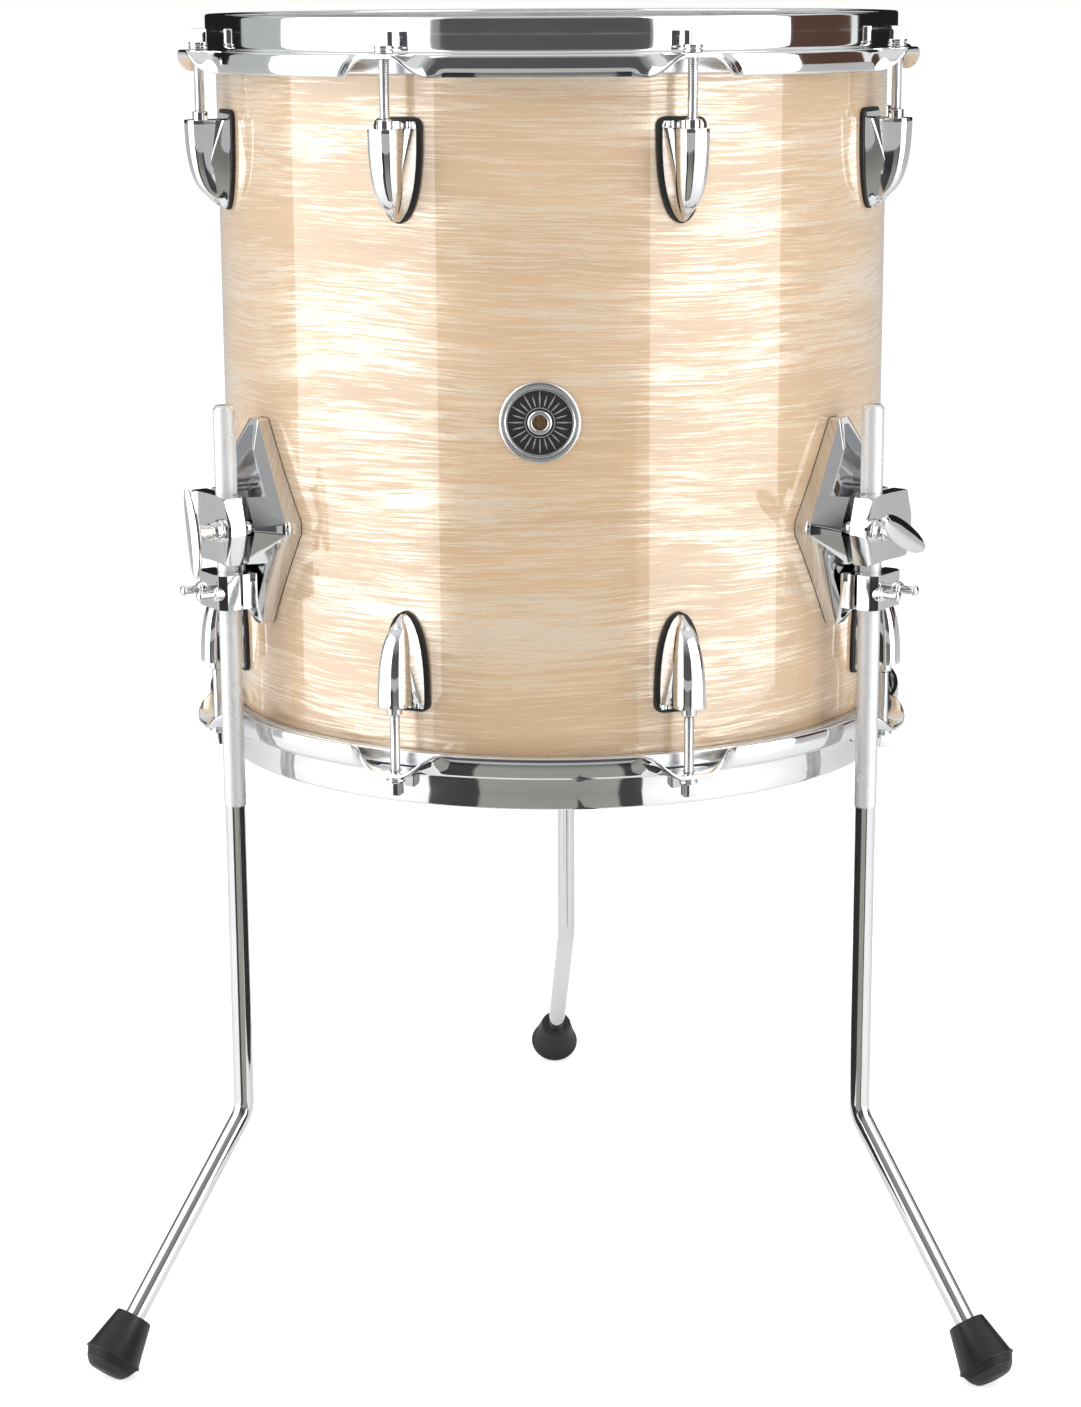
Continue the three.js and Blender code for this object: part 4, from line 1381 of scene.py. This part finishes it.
class FLOORTOM_OT_locks(bpy.types.Operator):
    """Builds the three height locks and the key screws that close them"""

    bl_idname = "floor_tom.locks"
    bl_label = "Height Locks"

    def execute(self, context):
        lock = lock_shape()
        screws = key_screws_shape()
        for leg in LEGS:
            node, body = f"{leg['side']}_leg_lock", f"{leg['side']}_lock"
            moves = bracket_moves(leg)
            finish_piece(f"{node}_block", lock.copy(), "cast", [node], moves, body, 28, 0.5)
            finish_piece(f"{node}_screws", screws.copy(), "chrome", [node], moves, body)
        lock.free()
        screws.free()
        return {"FINISHED"}


def down_the_leg(x, y, z):
    """Where a point of a straight leg goes when the leg is bent out along -Y."""
    if z >= BEND_START:
        return x, y, z
    length = BEND_START - z
    tilt = min(length, BEND_ARC) / BEND_RADIUS
    beyond = max(length - BEND_ARC, 0)
    out = BEND_RADIUS * (1 - math.cos(tilt)) + beyond * math.sin(tilt)
    height = BEND_START - BEND_RADIUS * math.sin(tilt) - beyond * math.cos(tilt)
    return x, -out + y * math.cos(tilt), height - y * math.sin(tilt)


def leg_shape(sizes):
    """A straight leg with its knurl cut in, then bent out along -Y."""
    pitch = sizes.knurl_pitch / MM
    depth = sizes.knurl_depth / MM
    around = 2 * round(2 * math.pi * KNURL_RADIUS / pitch)
    rows = int((LEG_TOP - 1.4 - KNURL_END) / (pitch / 2))
    knurl_start = KNURL_END + 0.3
    knurled = [knurl_start + pitch / 2 * k for k in range(rows)]
    bend_end = BEND_START - BEND_ARC
    end = bend_end - (FOOT_FROM_BEND + LEG_IN_FOOT - BEND_TANGENT)
    smooth = [end, bend_end] + [BEND_START - BEND_ARC * (1 - k / 16) for k in range(1, 17)]
    smooth.append(KNURL_END - 0.4)
    outline = [(0, end)] + [(LEG_RADIUS, z) for z in smooth]
    outline += [(KNURL_RADIUS, z) for z in knurled]
    outline += [(KNURL_RADIUS - 0.35, knurled[-1] + 0.35), (KNURL_RADIUS - 1.4, LEG_TOP), (0, LEG_TOP)]
    bm = turned(outline, steps=around)
    step = 2 * math.pi / around
    for vert in bm.verts:
        if math.hypot(vert.co.x, vert.co.y) > KNURL_RADIUS - 0.1:
            row = round((vert.co.z - knurl_start) / (pitch / 2))
            column = round(math.atan2(vert.co.y, vert.co.x) / step)
            drawn_in(vert, depth if (row + column) % 2 else 0)
    bmesh.ops.triangulate(bm, faces=bm.faces, quad_method="SHORT_EDGE")
    for vert in bm.verts:
        vert.co = down_the_leg(*vert.co)
    return bm


class FLOORTOM_OT_legs(bpy.types.Operator):
    """Builds the three legs, knurled above and bent outwards below"""

    bl_idname = "floor_tom.legs"
    bl_label = "Legs"

    def execute(self, context):
        shape = leg_shape(context.scene.floor_tom_sizes)
        for leg in LEGS:
            node = f"{leg['side']}_leg"
            finish_piece(f"{node}_rod", shape.copy(), "knurl", [node], leg_moves(leg), node, sharp=60)
        shape.free()
        return {"FINISHED"}


def foot_shape():
    """A foot on the end of a bent leg: a tread, four ribs, a collar and a tapered sleeve."""
    first_rib = FOOT_TREAD[1][1] + 0.8
    outline = [(0, FOOT_TREAD[0][1]), *FOOT_TREAD]
    ribs = 4
    for k in range(ribs):
        a = first_rib + 4.2 * k / ribs
        b = first_rib + 4.2 * (k + 0.6) / ribs
        r = 12.5 + 2.1 * k / ribs
        outline += [(r, a), (r + 0.3, b), (r - 0.05, b + 0.1)]
    outline += [(15.1, -23.9), (15.3, -23.3), (15.0, -22.6), (14.5, -22.1)]
    outline += [(9.9, -1.0), (9.6, -0.3), (8.8, 0), (5.5, 0), (5.5, -18), (0, -18)]
    bm = turned(outline, {1: 1.6, 2: 1.6}, 96)
    for vert in bm.verts:
        x, y, z = vert.co
        down = FOOT_FROM_BEND - z
        out = -down * math.sin(LEAN) + y * math.cos(LEAN)
        vert.co = (x, out, BEND_HEIGHT - down * math.cos(LEAN) - y * math.sin(LEAN))
    everything = bm.verts[:] + bm.edges[:] + bm.faces[:]
    cut = bmesh.ops.bisect_plane(
        bm, geom=everything, plane_co=(0, 0, 0), plane_no=(0, 0, 1), clear_inner=True
    )
    rim = [e for e in cut["geom_cut"] if isinstance(e, bmesh.types.BMEdge)]
    bmesh.ops.holes_fill(bm, edges=rim, sides=0)
    bmesh.ops.recalc_face_normals(bm, faces=bm.faces)
    return bm


class FLOORTOM_OT_feet(bpy.types.Operator):
    """Builds the three ribbed rubber feet, flat where they press on the floor"""

    bl_idname = "floor_tom.feet"
    bl_label = "Feet"

    def execute(self, context):
        shape = foot_shape()
        for leg in LEGS:
            node, body = f"{leg['side']}_foot", f"{leg['side']}_leg"
            finish_piece(f"{node}_rubber", shape.copy(), "foot", [node], leg_moves(leg), body)
        shape.free()
        return {"FINISHED"}


class FLOORTOM_OT_carried(bpy.types.Operator):
    """Gives the CAD's own pieces their finishes"""

    bl_idname = "floor_tom.carried"
    bl_label = "Carried Over Pieces"

    def execute(self, context):
        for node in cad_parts.values():
            if not node.hide_render:
                node.data.materials.clear()
                node.data.materials.append(finish_named("cast"))
        return {"FINISHED"}


# Stage, in metres

CAMERA_TURN = 2.046
CAMERA_YAW = 0.2635
CAMERA_PITCH = 13.384
CAMERA_ROLL = -0.307
CAMERA_DISTANCE = 1.6585
CAMERA_HEIGHT = 0.7115
CAMERA_FOCAL_PIXELS = 3055.9
PICTURE_HEIGHT = 1407
SENSOR = 36

SOFT_BOX_DISTANCE = 1.7
SOFT_BOX_HEIGHT = 2.4
LEFT_BOX = (-91, -35)
RIGHT_BOX = (33, 81)

WHITE = (1, 1, 1, 1)
WHITE_SWEEP = (0.9, 0.9, 0.9, 1)
PALE_WALL = (0.5, 0.52, 0.52, 1)
BLACK_FLAG = (0.015, 0.015, 0.015, 1)
BROWN_FLAG = (0.1, 0.055, 0.04, 1)
DARK_ROOM = (0.1, 0.095, 0.1, 1)
BOX_SURROUND = (0.3, 0.3, 0.3, 1)

# What stands round the drum, each from its own angle up to the next one's
ROOM = [
    (-180, BLACK_FLAG),
    (-120, PALE_WALL),
    (LEFT_BOX[0], BOX_SURROUND),
    (LEFT_BOX[1], DARK_ROOM),
    (RIGHT_BOX[0], BOX_SURROUND),
    (RIGHT_BOX[1], BROWN_FLAG),
    (116, WHITE_SWEEP),
    (120, BLACK_FLAG),
]

# The ceiling's two tones, and the directions between which it and its two parts blend
CEILING_AHEAD = (0.26, 0.26, 0.26, 1)
CEILING_BEHIND = (0.8, 0.8, 0.8, 1)
CEILING_FROM = (0.38, 0.55)
CEILING_BLEND = (-0.75, -0.2)

# The cloth's limits in degrees about the drum and in metres out from its axis, and the
# turns off its middle between which its woven part gives way to black
CLOTH_TURNS = (-37.6, 29.4)
CLOTH_REACH = (0.45, 4.0)
CLOTH_HEIGHT = 0.002
CLOTH_MIDDLE = 0.2
CLOTH_WOVEN = (20.3, 21)

CARD_ACROSS = 0.03
CARD_DEPTHS = (-0.25, 0.1)
CARD_HEIGHTS = (0.07, 0.29)

FLOOR_HALF = 30
FLOOR_GLOW = 0.62


def photo_camera():
    """The camera solved from the photo, aimed with a yaw, a pitch and a roll."""
    turn = math.radians(CAMERA_TURN)
    yaw = turn + math.radians(CAMERA_YAW)
    pitch = math.radians(CAMERA_PITCH)
    roll = math.radians(CAMERA_ROLL)
    ahead = Vector((-math.sin(yaw), math.cos(yaw), 0))
    right = Vector((math.cos(yaw), math.sin(yaw), 0))
    forward = math.cos(pitch) * ahead - math.sin(pitch) * Vector((0, 0, 1))
    up = math.sin(pitch) * ahead + math.cos(pitch) * Vector((0, 0, 1))
    right, up = (
        math.cos(roll) * right + math.sin(roll) * up,
        -math.sin(roll) * right + math.cos(roll) * up,
    )
    lens = bpy.data.cameras.new("photo_camera")
    lens.sensor_width = SENSOR
    lens.lens = CAMERA_FOCAL_PIXELS / PICTURE_HEIGHT * SENSOR
    lens.clip_end = 50
    camera = bpy.data.objects.new("photo_camera", lens)
    camera.matrix_world = Matrix(
        (
            (right.x, up.x, -forward.x, AXIS.x + CAMERA_DISTANCE * math.sin(turn)),
            (right.y, up.y, -forward.y, AXIS.y - CAMERA_DISTANCE * math.cos(turn)),
            (right.z, up.z, -forward.z, CAMERA_HEIGHT),
            (0, 0, 0, 1),
        )
    )
    bpy.context.scene.collection.objects.link(camera)
    bpy.context.scene.camera = camera


def soft_box(name, arc, power):
    """A tall soft light that fills an arc of directions seen from the drum."""
    start, end = arc
    middle = math.radians((start + end) / 2)
    half = math.radians((end - start) / 2)
    light = bpy.data.lights.new(name, "AREA")
    light.shape = "RECTANGLE"
    light.size = 2 * SOFT_BOX_DISTANCE * math.sin(half)
    light.size_y = SOFT_BOX_HEIGHT
    light.energy = power
    box = bpy.data.objects.new(name, light)
    out = Vector((math.sin(middle), -math.cos(middle), 0))
    centre = AXIS + out * SOFT_BOX_DISTANCE * math.cos(half) + Vector((0, 0, SOFT_BOX_HEIGHT / 2))
    box.matrix_world = Matrix.Translation(centre) @ out.to_track_quat("Z", "Y").to_matrix().to_4x4()
    box.visible_camera = False
    bpy.context.scene.collection.objects.link(box)


def room():
    """A world that is white behind the picture and has the studio's darks in reflections."""
    world = bpy.data.worlds.new("studio")
    world.use_nodes = True
    tree = world.node_tree
    tree.nodes.clear()

    def add(kind, values=None, **settings):
        return add_node(tree, kind, values, **settings).outputs

    def share_of(value, low, high):
        return add("ShaderNodeMapRange", {"Value": value, "From Min": low, "From Max": high})["Result"]

    def blend(factor, a, b):
        return add("ShaderNodeMix", {0: factor, 6: a, 7: b}, data_type="RGBA")[2]

    split = add("ShaderNodeSeparateXYZ", {0: add("ShaderNodeTexCoord")["Generated"]})
    ahead = add("ShaderNodeMath", {0: split["Y"], 1: -1}, operation="MULTIPLY")[0]
    turn = add("ShaderNodeMath", {0: split["X"], 1: ahead}, operation="ARCTAN2")[0]
    ramp = add_node(tree, "ShaderNodeValToRGB", {0: share_of(turn, -math.pi, math.pi)})
    ramp.color_ramp.interpolation = "CONSTANT"
    stops = ramp.color_ramp.elements
    stops.remove(stops[1])
    for degrees, tone in ROOM[1:]:
        stops.new((degrees + 180) / 360).color = tone
    stops[0].color = ROOM[0][1]
    ceiling = blend(share_of(split["Y"], *CEILING_BLEND), CEILING_AHEAD, CEILING_BEHIND)
    lit = blend(share_of(split["Z"], *CEILING_FROM), ramp.outputs["Color"], ceiling)
    seen = add("ShaderNodeLightPath")["Is Camera Ray"]
    sky = add("ShaderNodeBackground", {"Color": blend(seen, lit, WHITE)})
    add("ShaderNodeOutputWorld", {"Surface": sky[0]})
    return world


def sheet(corners, finish, reflected_only=True):
    """A flat thing of the stage, from its corners about the drum's axis."""
    name = finish.material.name
    bm = bmesh.new()
    bmesh.ops.contextual_create(bm, geom=[bm.verts.new(corner) for corner in corners])
    bmesh.ops.translate(bm, verts=bm.verts, vec=AXIS)
    mesh = bpy.data.meshes.new(name)
    bm.to_mesh(mesh)
    bm.free()
    mesh.materials.append(finish.material)
    piece = bpy.data.objects.new(name, mesh)
    if reflected_only:
        piece.visible_camera = False
        piece.visible_diffuse = False
        piece.visible_shadow = False
    bpy.context.scene.collection.objects.link(piece)


def pale_floor():
    """A white floor that glows a little to the camera alone, so that it meets the sky."""
    f = Finish("floor", Roughness=0.8)
    f.paint(f.noise(3.0), (0.88, 0.88, 0.88), (0.92, 0.92, 0.92))
    seen = f.add("ShaderNodeLightPath").outputs["Is Camera Ray"]
    f.shader.inputs["Emission Color"].default_value = WHITE
    f.link(f.math("MULTIPLY", seen, FLOOR_GLOW), "Emission Strength")
    signs = ((-1, -1), (1, -1), (1, 1), (-1, 1))
    sheet([(x * FLOOR_HALF, y * FLOOR_HALF, 0) for x, y in signs], f, reflected_only=False)


def dark_cloth():
    """A dark cloth on the floor before the camera, there for the chrome's reflections only."""
    corners = []
    for turn, out in section(*CLOTH_TURNS, *CLOTH_REACH):
        turn = math.radians(turn)
        corners.append((out * math.sin(turn), -out * math.cos(turn), CLOTH_HEIGHT))
    f = Finish("dark_cloth", Roughness=0.9)
    place = f.add("ShaderNodeSeparateXYZ", {0: f.place}).outputs
    turn = f.math("ARCTAN2", place["X"], f.math("MULTIPLY", place["Y"], -1.0))
    off_centre = f.math("ABSOLUTE", f.math("SUBTRACT", turn, math.radians(CLOTH_MIDDLE)))
    weave = f.blend(f.noise(900.0), (0.27, 0.27, 0.24, 1), (0.33, 0.33, 0.3, 1))
    black = f.spread(off_centre, *[math.radians(limit) for limit in CLOTH_WOVEN])
    f.link(f.blend(black, weave, (0.02, 0.02, 0.02, 1)), "Base Color")
    sheet(corners, f)


def black_card():
    """A black card under the drum, which darkens the legs' inner sides in reflections only."""
    f = Finish("black_card", Roughness=0.9)
    f.paint(f.noise(400.0), (0.012, 0.012, 0.012), (0.02, 0.02, 0.02))
    sheet([(CARD_ACROSS, y, z) for y, z in section(*CARD_DEPTHS, *CARD_HEIGHTS)], f)


class FLOORTOM_OT_stage(bpy.types.Operator):
    """Sets out the pale floor, the soft boxes, the cloth, the card, the sky and the camera"""

    bl_idname = "floor_tom.stage"
    bl_label = "Stage"

    def execute(self, context):
        scene = context.scene
        scene.view_settings.view_transform = "Standard"
        pale_floor()
        soft_box("left_soft_box", LEFT_BOX, 26)
        soft_box("right_soft_box", RIGHT_BOX, 23)
        dark_cloth()
        black_card()
        scene.world = room()
        photo_camera()
        return {"FINISHED"}


class FLOORTOM_PT_panel(bpy.types.Panel):
    """Lists the drum's pieces, its sizes and its colours"""

    bl_idname = "FLOORTOM_PT_panel"
    bl_label = "Floor Tom"
    bl_space_type = "VIEW_3D"
    bl_region_type = "UI"
    bl_category = "Floor Tom"

    def draw(self, context):
        layout = self.layout
        for group in (context.scene.floor_tom_sizes, context.scene.floor_tom_looks):
            column = layout.column()
            for key in group.bl_rna.properties.keys():
                if key not in ("rna_type", "name"):
                    column.prop(group, key)
        column = layout.column()
        for step in STEPS:
            column.operator(step.bl_idname)


STEPS = (
    FLOORTOM_OT_stage,
    FLOORTOM_OT_shell,
    FLOORTOM_OT_badge,
    FLOORTOM_OT_heads,
    FLOORTOM_OT_hoops,
    FLOORTOM_OT_lugs,
    FLOORTOM_OT_rods,
    FLOORTOM_OT_screws,
    FLOORTOM_OT_brackets,
    FLOORTOM_OT_locks,
    FLOORTOM_OT_legs,
    FLOORTOM_OT_feet,
    FLOORTOM_OT_carried,
)
CLASSES = (FloorTomSizes, FloorTomLooks, *STEPS, FLOORTOM_PT_panel)


def register():
    for each in CLASSES:
        bpy.utils.register_class(each)
    bpy.types.Scene.floor_tom_sizes = PointerProperty(type=FloorTomSizes)
    bpy.types.Scene.floor_tom_looks = PointerProperty(type=FloorTomLooks)


def unregister():
    del bpy.types.Scene.floor_tom_looks
    del bpy.types.Scene.floor_tom_sizes
    for each in reversed(CLASSES):
        bpy.utils.unregister_class(each)


def main():
    register()
    bpy.ops.floor_tom.stage()
    bpy.ops.floor_tom.shell()
    bpy.ops.floor_tom.badge()
    bpy.ops.floor_tom.heads()
    bpy.ops.floor_tom.hoops()
    bpy.ops.floor_tom.lugs()
    bpy.ops.floor_tom.rods()
    bpy.ops.floor_tom.screws()
    bpy.ops.floor_tom.brackets()
    bpy.ops.floor_tom.locks()
    bpy.ops.floor_tom.legs()
    bpy.ops.floor_tom.feet()
    bpy.ops.floor_tom.carried()


if __name__ == "__main__":
    main()
